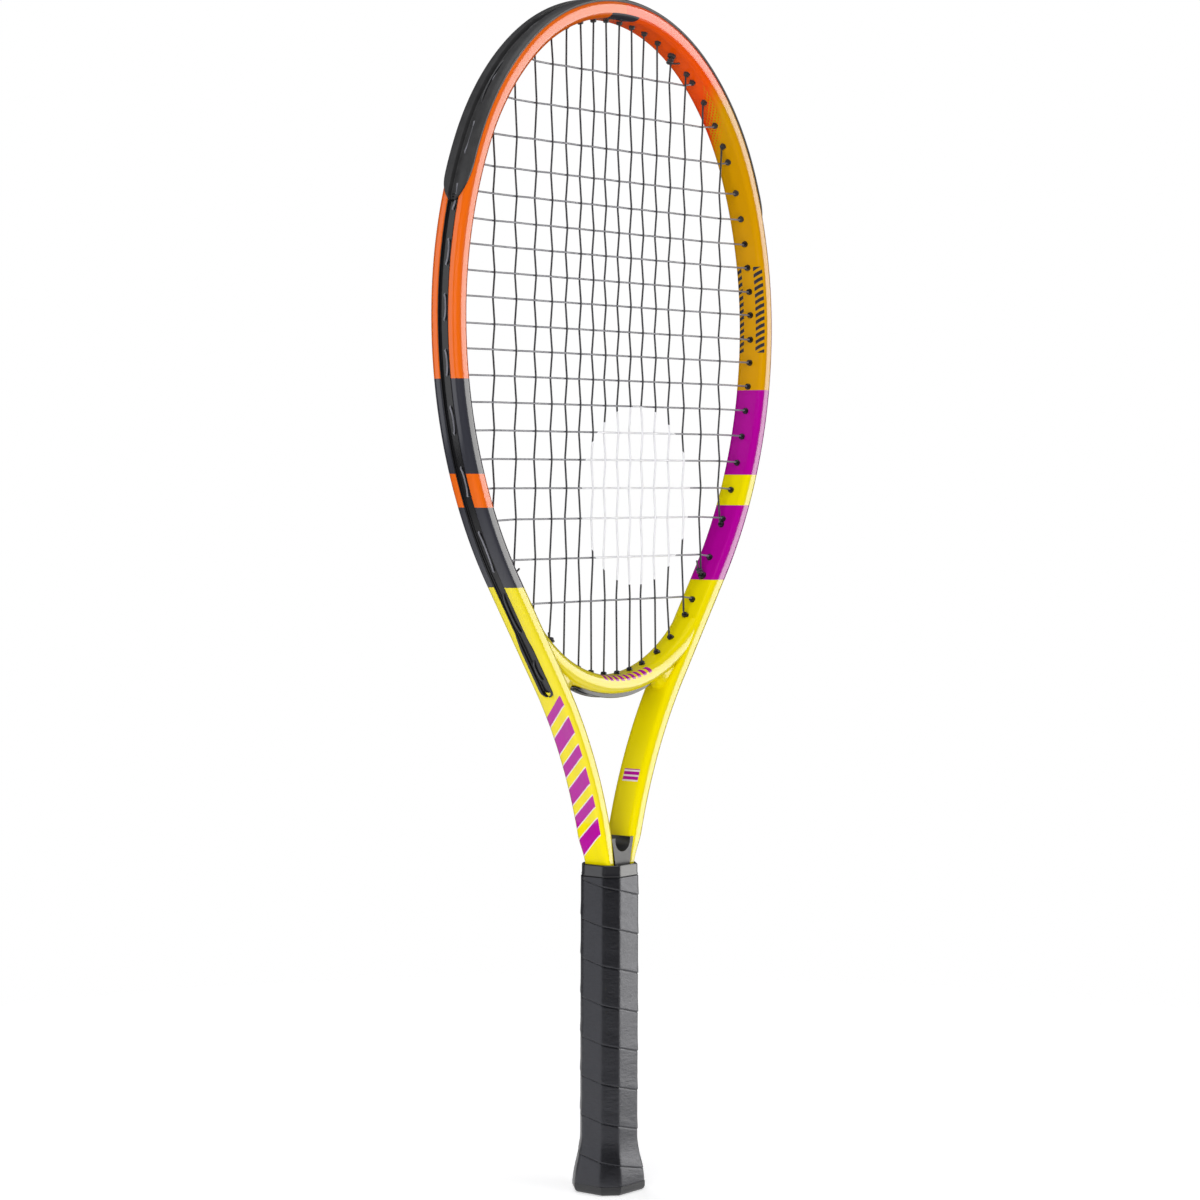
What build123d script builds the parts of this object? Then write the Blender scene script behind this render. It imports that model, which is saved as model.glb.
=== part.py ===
from build123d import *
import os
from dataclasses import dataclass
from math import copysign, cos, degrees, radians, sin, sqrt, tan

# Junior tennis racket, in millimetres. The origin is the middle of the butt's end face, +Z runs
# up the handle to the head, X runs across the head and Y through the string bed.

os.makedirs("parts", exist_ok=True)

# Frame tube: one hollow hairpin, round the head and down both shafts into the handle
tube_width = 9.6          # in the plane of the strings
tube_depth = 18.8         # along Y, the beam
tube_corner = 3.6
tube_wall = 1.5
head_half_width = 132.0   # of the tube's centreline at its widest
crown_height = 164.9      # centreline, from the widest level up to the top
crown_turn = 38.3         # degrees of the arc over the top, each side
shoulder_turn = 27.4
shoulder_share = 0.94     # shoulder radius as a share of the mean of width and height
flank_radius = 234.0      # below the widest level
throat_turn = 35.0        # slope of the shafts where they are straight
throat_radius = 255.0     # where the shafts bend back to the handle
leg_x = 5.0               # centreline of each shaft inside the handle
leg_bottom = 10.0

# Throat bridge, which closes the head
bridge_radius = 90.0      # its string side
bridge_width = 9.8
bridge_depth = 17.4
bridge_half_turn = 52.0
gusset_radius = 4.2
gusset_depth = 13.0
gusset_overlap = 3.0      # up into the bridge
gusset_root_length = 8.0  # up along the shaft, from where the gusset's arc meets it
gusset_root_depth = 2.0   # into the shaft, before it is cut back to the shaft's face

# Channel round the outside of the head, and the strips in it
channel_width = 7.0
channel_depth = 2.1
channel_wall = 1.3
channel_tail = 5.5        # below the end of the straight shaft
strip_thickness = 0.65
strip_width = 6.8
strip_gap = 0.6           # from the bumper's end to a side strip, and at the channel's end
bumper_thickness = 1.2
bumper_edge = 3.7         # how far outside the tube's centreline its skirt ends
bumper_lining = 0.8
bumper_skirt_reach = 166.0   # length along the rim, from the top to the skirt's end
bumper_reach = 179.5         # and to the end of its tongue
throat_strip_turn = 19.5
throat_strip_width = 9.0
throat_strip_lip = 1.55
seat_gap = 0.05           # clearance of every strip, barrel and guard from what it sits on

# Grommet barrels
barrel_radius = 1.65
bore_radius = 0.78
barrel_tip = 1.8          # how far a barrel stands out on the string side
mouth_radius = 1.5
mouth_depth = 0.62
tie_barrel_radius = 2.25
tie_bore_radius = 1.42

# Strings: stations as shares of the clear half width and of the clear length of the head
string_diameter = 1.28
pair_gap = 0.1            # between a tied-off end and the string beside it in a shared bore
weave_gap = 0.03
weave_round = 0.3         # a weave's corner stands out this much beyond its arc
weave_radius = 6.0
mouth_reach = 1.3         # how far back a string starts to turn where it leaves a barrel
bend_lead = 1.6           # from a barrel's tip to where the string turns
bend_share = 0.9          # of that lead which the turn's arc may take
loop_bow = 1.6            # sideways, so that a loop clears the strings it passes
loop_lead = 4.5           # from a barrel to where its loop runs at full bow
loop_spacing = 9.0        # of the points along a loop
loop_clearance = 0.1
main_stations = [0.044, 0.127, 0.211, 0.302, 0.399, 0.503, 0.627, 0.764]
cross_stations = [
    0.919, 0.858, 0.804, 0.757, 0.717, 0.678, 0.641, 0.603, 0.566, 0.527,
    0.490, 0.452, 0.413, 0.372, 0.330, 0.287, 0.241, 0.181, 0.115,
]
last_crossing = 3.0       # a main nearer than this to a cross's turn isn't crossed
knot_radius = 2.0
knot_length = 3.2
knot_lead = 1.5           # from where a string turns to its knot

# Handle: an octagon, as a rectangle with its corners cut at 45 degrees
handle_length = 176.0
grip_width = 28.8         # along X
grip_depth = 26.4         # along Y
bevel_leg = 6.05
wrap_thickness = 1.7
wrap_top_gap = 6.6        # from the wrap's top to the handle's top
collar_inset = 0.2
pallet_top_gap = 1.2
leg_lead = 48.0           # from the handle's top down to where the shafts run parallel
plug_height = 14.0        # above the handle's top
plug_saddle_radius = 6.4
plug_saddle_rise = 1.0    # from the saddle's middle to the plug's top
plug_foot = 40.0          # below the handle's top
plug_depth = 17.6
end_plug_length = 12.0
end_plug_gap = 0.1

# Butt cap and its hatch
rim_width = 36.0
rim_depth = 33.2
rim_height = 5.0
rim_round = 3.0
flare_top = 27.0
cap_top = 36.0
cap_wall = 1.3
hatch_width = 19.0
hatch_depth = 16.0
hatch_gap = 0.2
hatch_recess = 0.5
hatch_plate = 2.0
hatch_height = 8.0
hatch_wall = 1.2
hatch_bevel = 3.6
pull_radius = 2.2
staple_crown = 8.0
staple_wire = 0.7
staple_leg = 2.0          # stops short of the shafts
staple_height = 31.5


def outward(heading):
    """Unit vector away from the head's middle, for a rim heading in degrees clockwise from +X."""
    return Vector(sin(radians(heading)), 0, cos(radians(heading)))


def forward(heading):
    return Vector(cos(radians(heading)), 0, -sin(radians(heading)))


def mirrored(point):
    return Vector(-point.X, point.Y, point.Z)


@dataclass
class Stretch:
    """A straight or an arc of the tube's centreline: size is its length or its radius."""

    start: Vector
    heading: float
    turn: float
    size: float

    @property
    def length(self):
        return radians(abs(self.turn)) * self.size if self.turn else self.size

    def place(self, travelled):
        if not self.turn:
            return self.start + forward(self.heading) * travelled, self.heading
        bent = copysign(degrees(travelled / self.size), self.turn)
        side = copysign(self.size, self.turn)
        centre = self.start - outward(self.heading) * side
        return centre + outward(self.heading + bent) * side, self.heading + bent


def chained(start, turns_and_sizes):
    """Stretches one after another, each starting where and how the last one ends."""
    stretches, heading = [], 0.0
    for turn, size in turns_and_sizes:
        stretches.append(Stretch(start, heading, turn, size))
        start, heading = stretches[-1].place(stretches[-1].length)
    return stretches


def trimmed(stretches, distance):
    kept = []
    for piece in stretches:
        part = min(distance, piece.length)
        if part > 0:
            share = part / piece.length
            kept.append(Stretch(piece.start, piece.heading, piece.turn * share,
                                piece.size if piece.turn else part))
        distance -= part
    return kept


def total(stretches):
    return sum(piece.length for piece in stretches)


def along(stretches, distance):
    for piece in stretches[:-1]:
        if distance <= piece.length:
            return piece.place(distance)
        distance -= piece.length
    return stretches[-1].place(distance)


def draw(piece, reflect=False):
    """Adds one stretch to the line being built, or its mirror image running the other way."""
    ends = [piece.place(piece.length * share)[0] for share in (0, 0.5, 1)]
    if reflect:
        ends = [mirrored(point) for point in reversed(ends)]
    if piece.turn:
        ThreePointArc(*ends)
    else:
        Line(ends[0], ends[2])


def draw_both_sides(stretches):
    """Adds the whole rim, from the left end over the top to the right end."""
    for piece in reversed(stretches):
        draw(piece, reflect=True)
    for piece in stretches:
        draw(piece)


def left_end_plane(stretches):
    """Section plane at the left end: x is outward, and z runs along the rim."""
    point, heading = along(stretches, total(stretches))
    back = forward(heading)
    return Plane(origin=mirrored(point), x_dir=mirrored(outward(heading)),
                 z_dir=Vector(back.X, 0, -back.Z))


def start_plane(piece):
    return Plane(origin=piece.start, x_dir=outward(piece.heading), z_dir=forward(piece.heading))


def octagon(width, depth, leg):
    """An eight-sided outline in the sketch being built."""
    outline = Rectangle(width, depth)
    chamfer(outline.vertices(), leg)


def solve(miss, low, high):
    """The distance between low and high where miss changes sign."""
    rising = miss(high) > 0
    for _ in range(50):
        middle = (low + high) / 2
        if (miss(middle) > 0) == rising:
            high = middle
        else:
            low = middle
    return (low + high) / 2


# The rim's centreline, from the top down the right side. The crown and the arc beside the
# widest level get the two radii that make the quarter end at the half width and height.
shoulder_radius = shoulder_share * sqrt(head_half_width * crown_height)
c1, s1 = cos(radians(crown_turn)), sin(radians(crown_turn))
c2, s2 = cos(radians(crown_turn + shoulder_turn)), sin(radians(crown_turn + shoulder_turn))
wide_left = head_half_width - shoulder_radius * (s2 - s1)
high_left = crown_height - shoulder_radius * (c1 - c2)
determinant = s1 * c2 - (1 - s2) * (1 - c1)
crown_radius = (wide_left * c2 - (1 - s2) * high_left) / determinant
side_radius = (s1 * high_left - (1 - c1) * wide_left) / determinant

throat_sin, throat_cos = sin(radians(throat_turn)), cos(radians(throat_turn))
shaft_length = (
    head_half_width - leg_x - (flank_radius + throat_radius) * (1 - throat_cos)
) / throat_sin
leg_top = handle_length - leg_lead
widest_z = leg_top + (flank_radius + throat_radius) * throat_sin + shaft_length * throat_cos
crown_top = widest_z + crown_height
rim = chained(Vector(0, 0, crown_top), [
    (crown_turn, crown_radius),
    (shoulder_turn, shoulder_radius),
    (90 - crown_turn - shoulder_turn, side_radius),
    (throat_turn, flank_radius),
    (0, shaft_length),
    (-throat_turn, throat_radius),
    (0, leg_top - leg_bottom),
])
to_widest = total(rim[:3])
to_shaft_end = total(rim[:5])
channelled = trimmed(rim, to_shaft_end + channel_tail)
print("overall length", round(crown_top + tube_width / 2 + bumper_thickness, 1))

# The bridge's arc touches both shafts' inner faces
shaft_end = rim[5].start
bridge_centre_z = shaft_end.Z - (
    shaft_end.X * throat_cos - tube_width / 2 - bridge_radius
) / throat_sin
bridge_centre = Vector(0, 0, bridge_centre_z)
bridge_axis = Axis(bridge_centre, (0, 1, 0))
shaft_outward = outward(90 + throat_turn)

half_width_clear = head_half_width - tube_width / 2
bottom_clear = bridge_centre_z - bridge_radius
length_clear = crown_top - tube_width / 2 - bottom_clear
strip_top = tube_width / 2 - channel_depth + strip_thickness
string_radius = string_diameter / 2
loop_height = strip_top + string_radius + loop_clearance


@dataclass
class Grommet:
    """A barrel from its tip to the strip's outer face, along aim, and where its string turns."""

    tip: Vector
    aim: Vector
    length: float
    rim_at: float = 0.0      # distance along the rim, right side
    tie: float = 0.0         # side, in Y, on which a tied-off end shares the bore

    def reflected(self):
        return Grommet(mirrored(self.tip), mirrored(self.aim), self.length, self.rim_at, self.tie)

    @property
    def turning(self):
        return self.tip - self.aim * bend_lead

    def barrel_plane(self):
        return Plane(origin=self.tip + Vector(0, self.tie * (string_radius + pair_gap / 2), 0),
                     x_dir=(0, 1, 0), z_dir=self.aim)


def rim_grommet(distance):
    point, heading = along(channelled, distance)
    tip = point - outward(heading) * (tube_width / 2 + barrel_tip)
    return Grommet(tip, outward(heading), tube_width / 2 + barrel_tip + strip_top, distance)


def rim_main(x, low, high):
    return rim_grommet(solve(lambda d: rim_grommet(d).turning.X - x, low, high))


def rim_cross(z):
    return rim_grommet(solve(lambda d: z - rim_grommet(d).turning.Z, 0, total(channelled)))


def bridge_point(x, radius):
    return bridge_centre + Vector(x, 0, -sqrt(radius ** 2 - x ** 2))


def throat_main(x):
    """A barrel straight through the bridge, along its radius."""
    turning = bridge_point(x, bridge_radius - barrel_tip - bend_lead)
    aim = (turning - bridge_centre).normalized()
    return Grommet(turning + aim * bend_lead, aim, barrel_tip + bridge_width + strip_thickness)


def corner_main(x):
    """A barrel through the bridge's end and then square through the shaft behind it."""
    tip = bridge_point(x - bend_lead * -shaft_outward.X, bridge_radius - barrel_tip)
    depth = (shaft_end - tip).dot(shaft_outward)
    at = to_shaft_end - (tip - shaft_end).dot(Vector(throat_sin, 0, throat_cos))
    return Grommet(tip, shaft_outward, depth + strip_top, at)


main_x = [share * half_width_clear for share in main_stations]
cross_z = [bottom_clear + share * length_clear for share in cross_stations]

right_tops = [rim_main(x, 0, to_widest) for x in main_x]
right_bottoms = (
    [throat_main(x) for x in main_x[:3]]
    + [corner_main(x) for x in main_x[3:6]]
    + [rim_main(x, to_widest, total(channelled)) for x in main_x[6:]]
)
right_crosses = [rim_cross(z) for z in cross_z]
tops = [g.reflected() for g in reversed(right_tops)] + right_tops
bottoms = [g.reflected() for g in reversed(right_bottoms)] + right_bottoms
left_crosses = [g.reflected() for g in right_crosses]
mains = [-x for x in reversed(main_x)] + main_x

# Tied-off ends share a bore: the mains' on the +Y side, the crosses' on the -Y side
bottoms[1].tie = bottoms[14].tie = 1
tops[12].tie = bottoms[3].tie = -1

bumper_grommets = tops + [
    g for g in right_crosses + left_crosses if g.rim_at < bumper_reach
]
right_strip_grommets = [g for g in right_crosses if g.rim_at >= bumper_reach] + bottoms[11:]
left_strip_grommets = [g for g in left_crosses if g.rim_at >= bumper_reach] + bottoms[:5]
throat_grommets = bottoms[5:11]


def sink_holes(grommets, clearance):
    """Cuts the barrels' holes, with their clearance, from the part being built."""
    for g in grommets:
        with Locations(g.barrel_plane().offset(-1)):
            Cylinder((tie_barrel_radius if g.tie else barrel_radius) + clearance, g.length + 6,
                     align=(Align.CENTER, Align.CENTER, Align.MIN), mode=Mode.SUBTRACT)


def grow_barrels(grommets):
    """Adds the barrels to the strip being built, then bores them and flares their mouths."""
    for g in grommets:
        with Locations(g.barrel_plane()):
            Cylinder(tie_barrel_radius if g.tie else barrel_radius, g.length - strip_thickness / 2,
                     align=(Align.CENTER, Align.CENTER, Align.MIN))
    for g in grommets:
        bore = tie_bore_radius if g.tie else bore_radius
        with Locations(g.barrel_plane().offset(-1)):
            Cylinder(bore, g.length + 3, align=(Align.CENTER, Align.CENTER, Align.MIN),
                     mode=Mode.SUBTRACT)
        with Locations(g.barrel_plane().offset(g.length - mouth_depth)):
            Cone(bore, bore + mouth_radius - bore_radius, mouth_depth + 0.01,
                 align=(Align.CENTER, Align.CENTER, Align.MIN), mode=Mode.SUBTRACT)


# ---------------------------------------------------------------- frame tube
with BuildPart() as tube_envelope:
    with BuildLine():
        draw_both_sides(rim)
    with BuildSketch(left_end_plane(rim)):
        RectangleRounded(tube_width, tube_depth, tube_corner)
    sweep()

cavity_width, cavity_depth = tube_width - 2 * tube_wall, tube_depth - 2 * tube_wall
channel_floor = tube_width / 2 - channel_depth

tail = trimmed(rim, to_shaft_end + channel_tail)[-1]
leg_start, leg_heading = tail.place(tail.length)
leg_pieces = [
    Stretch(leg_start, leg_heading, 90 - leg_heading, throat_radius),
    rim[6],
]
with BuildPart() as leg_cavity:
    with BuildLine():
        for piece in leg_pieces:
            draw(piece)
    with BuildSketch(start_plane(leg_pieces[0])):
        RectangleRounded(cavity_width, cavity_depth, tube_corner - tube_wall)
    sweep()

with BuildPart() as frame_tube:
    add(tube_envelope.part)
    with BuildLine():
        draw_both_sides(channelled)
    with BuildSketch(left_end_plane(channelled)):
        RectangleRounded(cavity_width, cavity_depth, tube_corner - tube_wall)
        with Locations((channel_floor - channel_wall + tube_width / 2, 0)):
            Rectangle(tube_width, channel_width + 2 * channel_wall, mode=Mode.SUBTRACT)
    sweep(mode=Mode.SUBTRACT)
    add(leg_cavity.part, mode=Mode.SUBTRACT)
    add(leg_cavity.part.mirror(Plane.YZ), mode=Mode.SUBTRACT)
    with BuildLine():
        draw_both_sides(channelled)
    with BuildSketch(left_end_plane(channelled)):
        with Locations((channel_floor + tube_width / 2, 0)):
            Rectangle(tube_width, channel_width)
    sweep(mode=Mode.SUBTRACT)
    sink_holes(tops + bottoms[:5] + bottoms[11:] + right_crosses + left_crosses, seat_gap)
frame_tube.part.label = "frame_tube"

# ---------------------------------------------------------------- throat bridge
# The gusset's arc touches the bridge's underside and the shaft's inner face
under_radius = bridge_radius + bridge_width
gusset_base = shaft_end - shaft_outward * (tube_width / 2 + gusset_radius)
shaft_down = forward(90 + throat_turn)
reach = (gusset_base - bridge_centre).dot(shaft_down)
aside = (gusset_base - bridge_centre).dot(shaft_outward)
gusset_centre = gusset_base + shaft_down * (
    sqrt((under_radius + gusset_radius) ** 2 - aside ** 2) - reach
)
to_bridge = (bridge_centre - gusset_centre).normalized()
gusset_on_bridge = gusset_centre + to_bridge * gusset_radius
gusset_on_shaft = gusset_centre + shaft_outward * gusset_radius
gusset_middle = gusset_centre + (to_bridge + shaft_outward).normalized() * gusset_radius
gusset_root = gusset_on_shaft - shaft_down * gusset_root_length + shaft_outward * gusset_root_depth

bridge_side = Vector(-sin(radians(bridge_half_turn)), 0, -cos(radians(bridge_half_turn)))
strip_side = Vector(-sin(radians(throat_strip_turn)), 0, -cos(radians(throat_strip_turn)))
seat_turn = throat_strip_turn + degrees(seat_gap / under_radius)
seat_side = Vector(-sin(radians(seat_turn)), 0, -cos(radians(seat_turn)))
seat_depth = strip_thickness + throat_strip_lip + 2 * seat_gap


def bridge_section(side, radius):
    """Section plane of an arc round the bridge's centre: x runs away from that centre."""
    return Plane(origin=bridge_centre + side * radius, x_dir=side,
                 z_dir=side.cross(Vector(0, 1, 0)))


def flat(point):
    return (point.X, point.Z)


with BuildPart() as throat_bridge:
    with BuildSketch(bridge_section(bridge_side, bridge_radius + bridge_width / 2)):
        RectangleRounded(bridge_width, bridge_depth, tube_corner)
        RectangleRounded(bridge_width - 2 * tube_wall, bridge_depth - 2 * tube_wall,
                         tube_corner - tube_wall, mode=Mode.SUBTRACT)
    revolve(axis=bridge_axis, revolution_arc=-2 * bridge_half_turn)
    with BuildSketch(Plane.XZ):
        with BuildLine():
            over = Vector(0, 0, gusset_overlap)
            Line(flat(gusset_on_bridge + over), flat(gusset_on_bridge))
            ThreePointArc(flat(gusset_on_bridge), flat(gusset_middle), flat(gusset_on_shaft))
            Line(flat(gusset_on_shaft), flat(gusset_root))
            Line(flat(gusset_root), flat(gusset_on_bridge + over))
        make_face()
        mirror(about=Plane.YZ)
    extrude(amount=gusset_depth / 2, both=True)
    for side in (1, -1):
        split(bisect_by=Plane(origin=(side * shaft_end.X, 0, shaft_end.Z),
                              z_dir=(-side * shaft_outward.X, 0, -shaft_outward.Z)))
    add(tube_envelope.part, mode=Mode.SUBTRACT)
    # Room for the strip below, where the gussets come near its ends
    with BuildSketch(bridge_section(seat_side, under_radius + seat_depth / 2)):
        Rectangle(seat_depth, throat_strip_width + 2 * seat_gap)
    revolve(axis=bridge_axis, revolution_arc=-2 * seat_turn, mode=Mode.SUBTRACT)
    sink_holes(bottoms[2:14], seat_gap)
throat_bridge.part.label = "throat_bridge"

# ---------------------------------------------------------------- guard and grommet strips
skirted = trimmed(rim, bumper_skirt_reach)
tongued = trimmed(rim, bumper_reach)
with BuildPart() as bumper_guard:
    with BuildLine():
        draw_both_sides(skirted)
    with BuildSketch(left_end_plane(skirted)):
        RectangleRounded(tube_width + 2 * bumper_thickness, tube_depth + 2 * bumper_thickness,
                         tube_corner + bumper_thickness)
        with Locations((bumper_edge - tube_width, 0)):
            Rectangle(2 * tube_width, 2 * tube_depth, mode=Mode.SUBTRACT)
        RectangleRounded(tube_width + 2 * seat_gap, tube_depth + 2 * seat_gap,
                         tube_corner + seat_gap, mode=Mode.SUBTRACT)
        with Locations((strip_top + tube_width / 2, 0)):
            Rectangle(tube_width, strip_width - 2 * bumper_lining, mode=Mode.SUBTRACT)
    sweep()
    with BuildLine():
        draw_both_sides(tongued)
    with BuildSketch(left_end_plane(tongued)):
        with Locations(((channel_floor + seat_gap + tube_width / 2) / 2, 0)):
            Rectangle(tube_width / 2 - channel_floor - seat_gap, strip_width)
        with Locations((strip_top + tube_width / 2, 0)):
            Rectangle(tube_width, strip_width - 2 * bumper_lining, mode=Mode.SUBTRACT)
    sweep()
    with BuildLine():
        draw_both_sides(skirted)
    with BuildSketch(left_end_plane(skirted)):
        for side in (1, -1):
            with Locations((tube_width / 2 + bumper_thickness / 2,
                            side * (strip_width - bumper_lining) / 2)):
                Rectangle(bumper_thickness, bumper_lining)
    sweep()
    grow_barrels(bumper_grommets)
bumper_guard.part.label = "bumper_guard"

strip_stretches = trimmed(rim, total(channelled) - strip_gap)
upper_end = bumper_reach + strip_gap


def stretches_beyond(stretches, beyond):
    """What is left of the stretches past a distance along them."""
    kept = []
    for piece in stretches:
        if beyond < piece.length:
            point, heading = piece.place(max(beyond, 0))
            share = 1 - max(beyond, 0) / piece.length
            kept.append(Stretch(point, heading, piece.turn * share,
                                piece.size if piece.turn else piece.size * share))
        beyond -= piece.length
    return kept


with BuildPart() as strip_band:
    pieces = stretches_beyond(strip_stretches, upper_end)
    with BuildLine():
        for piece in pieces:
            draw(piece)
    with BuildSketch(start_plane(pieces[0])):
        with Locations((channel_floor + seat_gap + (strip_thickness - seat_gap) / 2, 0)):
            Rectangle(strip_thickness - seat_gap, strip_width)
    sweep()

with BuildPart() as grommet_strip_right:
    add(strip_band.part)
    grow_barrels(right_strip_grommets)
grommet_strip_right.part.label = "grommet_strip_right"

with BuildPart() as grommet_strip_left:
    add(strip_band.part.mirror(Plane.YZ))
    grow_barrels(left_strip_grommets)
grommet_strip_left.part.label = "grommet_strip_left"

with BuildPart() as throat_grommet_strip:
    height = strip_thickness + throat_strip_lip
    with BuildSketch(bridge_section(strip_side, under_radius + seat_gap + height / 2)):
        Rectangle(height, throat_strip_width)
        with Locations((strip_thickness, 0)):
            Rectangle(height, strip_width - 2 * bumper_lining, mode=Mode.SUBTRACT)
    revolve(axis=bridge_axis, revolution_arc=-2 * throat_strip_turn)
    grow_barrels(throat_grommets)
throat_grommet_strip.part.label = "throat_grommet_strip"


# ---------------------------------------------------------------- strings
def rounded_path(route):
    """Adds straight runs joined by tangent arcs. A route's corners are points with a reach,
    the most that the arc may take of each run beside it."""
    points = [point for point, _ in route]
    previous = points[0]
    for before, (corner, reach), after in zip(points, route[1:], points[2:]):
        arriving, leaving = (corner - before).normalized(), (after - corner).normalized()
        turn = radians(arriving.get_angle(leaving))
        if turn < radians(0.5):
            continue
        room = min(reach, 0.45 * (corner - before).length, 0.45 * (after - corner).length)
        radius = min(weave_radius, room / tan(turn / 2))
        start = corner - arriving * radius * tan(turn / 2)
        end = corner + leaving * radius * tan(turn / 2)
        middle = corner + (leaving - arriving).normalized() * radius * (1 / cos(turn / 2) - 1)
        Line(previous, start)
        ThreePointArc(start, middle, end)
        previous = end
    Line(previous, points[-1])


def loosely(points):
    return [(point, string_diameter * 10) for point in points]


def entering(points):
    """A loop's points, with tight arcs where it dives into its barrels."""
    return [(points[0], mouth_reach)] + loosely(points[1:-1]) + [(points[-1], mouth_reach)]


def turning(grommet):
    return (grommet.turning, bend_share * bend_lead)


def rim_loop(first, second, side):
    """Points of a loop in the channel between two barrels on one side of the rim."""
    left = first.tip.X < 0
    away = copysign(loop_lead, second.rim_at - first.rim_at)
    stops = [first.rim_at, first.rim_at + away, second.rim_at - away, second.rim_at]
    middle_count = int(abs(stops[2] - stops[1]) // loop_spacing)
    inner = [stops[1] + (stops[2] - stops[1]) * (i + 1) / (middle_count + 1)
             for i in range(middle_count)]
    route = []
    for place in stops[:2] + inner + stops[2:]:
        point, heading = along(channelled, place)
        point = point + outward(heading) * loop_height
        bow = 0 if place in (stops[0], stops[3]) else side * loop_bow
        route.append((mirrored(point) if left else point) + Vector(0, bow, 0))
    return route


def crown_loop(first, second, side):
    """Points of the loop over the top, between barrels on both sides of it."""
    points = []
    for g, x_sign in ((first, -1), (second, 1)):
        point, heading = along(channelled, g.rim_at)
        point = point + outward(heading) * loop_height
        points.append(mirrored(point) if x_sign < 0 else point)
    return [points[0], Vector(0, side * loop_bow, crown_top + loop_height), points[1]]


def throat_loop(first, second, side):
    """Points of a loop under the bridge."""
    radius = under_radius + seat_gap + strip_thickness + string_radius + loop_clearance
    ends = [bridge_centre + g.aim * radius for g in (first, second)]
    middle = ((ends[0] + ends[1]) / 2 - bridge_centre).normalized()
    return [ends[0], bridge_centre + middle * (radius + 0.1) + Vector(0, side * loop_bow, 0), ends[1]]


def loop_between(first, second, side):
    if first in throat_grommets:
        return throat_loop(first, second, side)
    if first.tip.X * second.tip.X < 0:
        return crown_loop(first, second, side)
    return rim_loop(first, second, side)


def tied_off(host, neighbour, side):
    """Points of an end tied off at a shared barrel, from inside the head out to the channel."""
    aside = Vector(0, side * (string_diameter + pair_gap), 0)
    loop = loop_between(host, neighbour, side)
    inside = host.turning + aside
    along_main = Vector(0, 0, copysign(knot_length + knot_lead, bed_middle_z - host.tip.Z))
    ends = [(inside + along_main, 0), (inside, bend_share * bend_lead)]
    return ends + [(loop[0] + aside, mouth_reach)] + entering(loop)[1:]


bed_middle_z = bottom_clear + length_clear / 2
mains_side, crosses_side = 1, -1

main_route = tied_off(bottoms[1], bottoms[0], mains_side)
for i in range(16):
    rising = i % 2 == 0
    start, end = (bottoms[i], tops[i]) if rising else (tops[i], bottoms[i])
    main_route += [turning(start), turning(end)]
    if i < 15:
        following = tops[i + 1] if rising else bottoms[i + 1]
        main_route += entering(loop_between(end, following, mains_side))
main_route += reversed(tied_off(bottoms[14], bottoms[15], mains_side))

weave = string_diameter + weave_gap
cross_route = tied_off(tops[12], right_crosses[0], crosses_side)
for j, z in enumerate(cross_z):
    leftwards = j % 2 == 0
    start, end = right_crosses[j], left_crosses[j]
    if not leftwards:
        start, end = end, start
    clear_x = abs(start.turning.X) - last_crossing
    crossed = [(x, i) for i, x in enumerate(mains) if abs(x) < clear_x]
    if leftwards:
        crossed.reverse()
    cross_route.append(turning(start))
    for x, i in crossed:
        over = 1 if (i + j) % 2 else -1
        cross_route += loosely([Vector(x, over * (weave + weave_round), z)])
    cross_route.append(turning(end))
    if j < len(cross_z) - 1:
        following = left_crosses[j + 1] if leftwards else right_crosses[j + 1]
        cross_route += entering(loop_between(end, following, crosses_side))
cross_route += reversed(tied_off(bottoms[3], left_crosses[-1], crosses_side))


def knot(host):
    """A knot's collar round the main string that a tied-off end holds on to."""
    level = Vector(0, 0, copysign(knot_length / 2 + knot_lead, bed_middle_z - host.tip.Z))
    with Locations(Plane(origin=host.turning + level)):
        Cylinder(knot_radius, knot_length)


def string(route):
    with BuildLine() as path:
        rounded_path(route)
    with BuildSketch(Plane(origin=route[0][0], z_dir=route[1][0] - route[0][0])) as section:
        Circle(string_radius)
    sweep(sections=section.sketch, path=path.wires()[0])


with BuildPart() as main_string:
    string(main_route)
    knot(bottoms[1])
    knot(bottoms[14])
main_string.part.label = "main_string"

with BuildPart() as cross_string:
    string(cross_route)
    knot(tops[12])
    knot(bottoms[3])
    for host in (tops[12], bottoms[3]):
        with Locations(Plane(origin=host.turning)):
            Cylinder(string_radius + weave_gap, 4 * knot_length, mode=Mode.SUBTRACT)
cross_string.part.label = "cross_string"

# ---------------------------------------------------------------- handle
pallet_width = grip_width - 2 * wrap_thickness
pallet_depth = grip_depth - 2 * wrap_thickness
inset_leg = 2 - sqrt(2)   # how much of an offset a 45 degree corner cut loses
pallet_bevel = bevel_leg - wrap_thickness * inset_leg
wrap_top = handle_length - wrap_top_gap
pallet_top = handle_length - pallet_top_gap
socket_width, socket_depth = pallet_width - 2 * cap_wall, pallet_depth - 2 * cap_wall
socket_bevel = pallet_bevel - cap_wall * inset_leg
rim_bevel = bevel_leg * rim_width / grip_width
neck_inset = 2 * wrap_thickness
neck_bevel = rim_bevel - wrap_thickness * inset_leg


def prism(width, depth, leg, low, high, mode=Mode.ADD):
    """An octagonal prism between two levels, in the part being built."""
    with BuildSketch(Plane.XY.offset(low)) as section:
        octagon(width, depth, leg)
    extrude(section.sketch, amount=high - low, mode=mode)


def flare(low_size, high_size, low, high, mode=Mode.ADD):
    """An octagonal taper between two levels; a size is a width, a depth and a bevel's leg."""
    with BuildSketch(Plane.XY.offset(low)) as first:
        octagon(*low_size)
    with BuildSketch(Plane.XY.offset(high)) as last:
        octagon(*high_size)
    loft(sections=[first.sketch, last.sketch], mode=mode)


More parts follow.
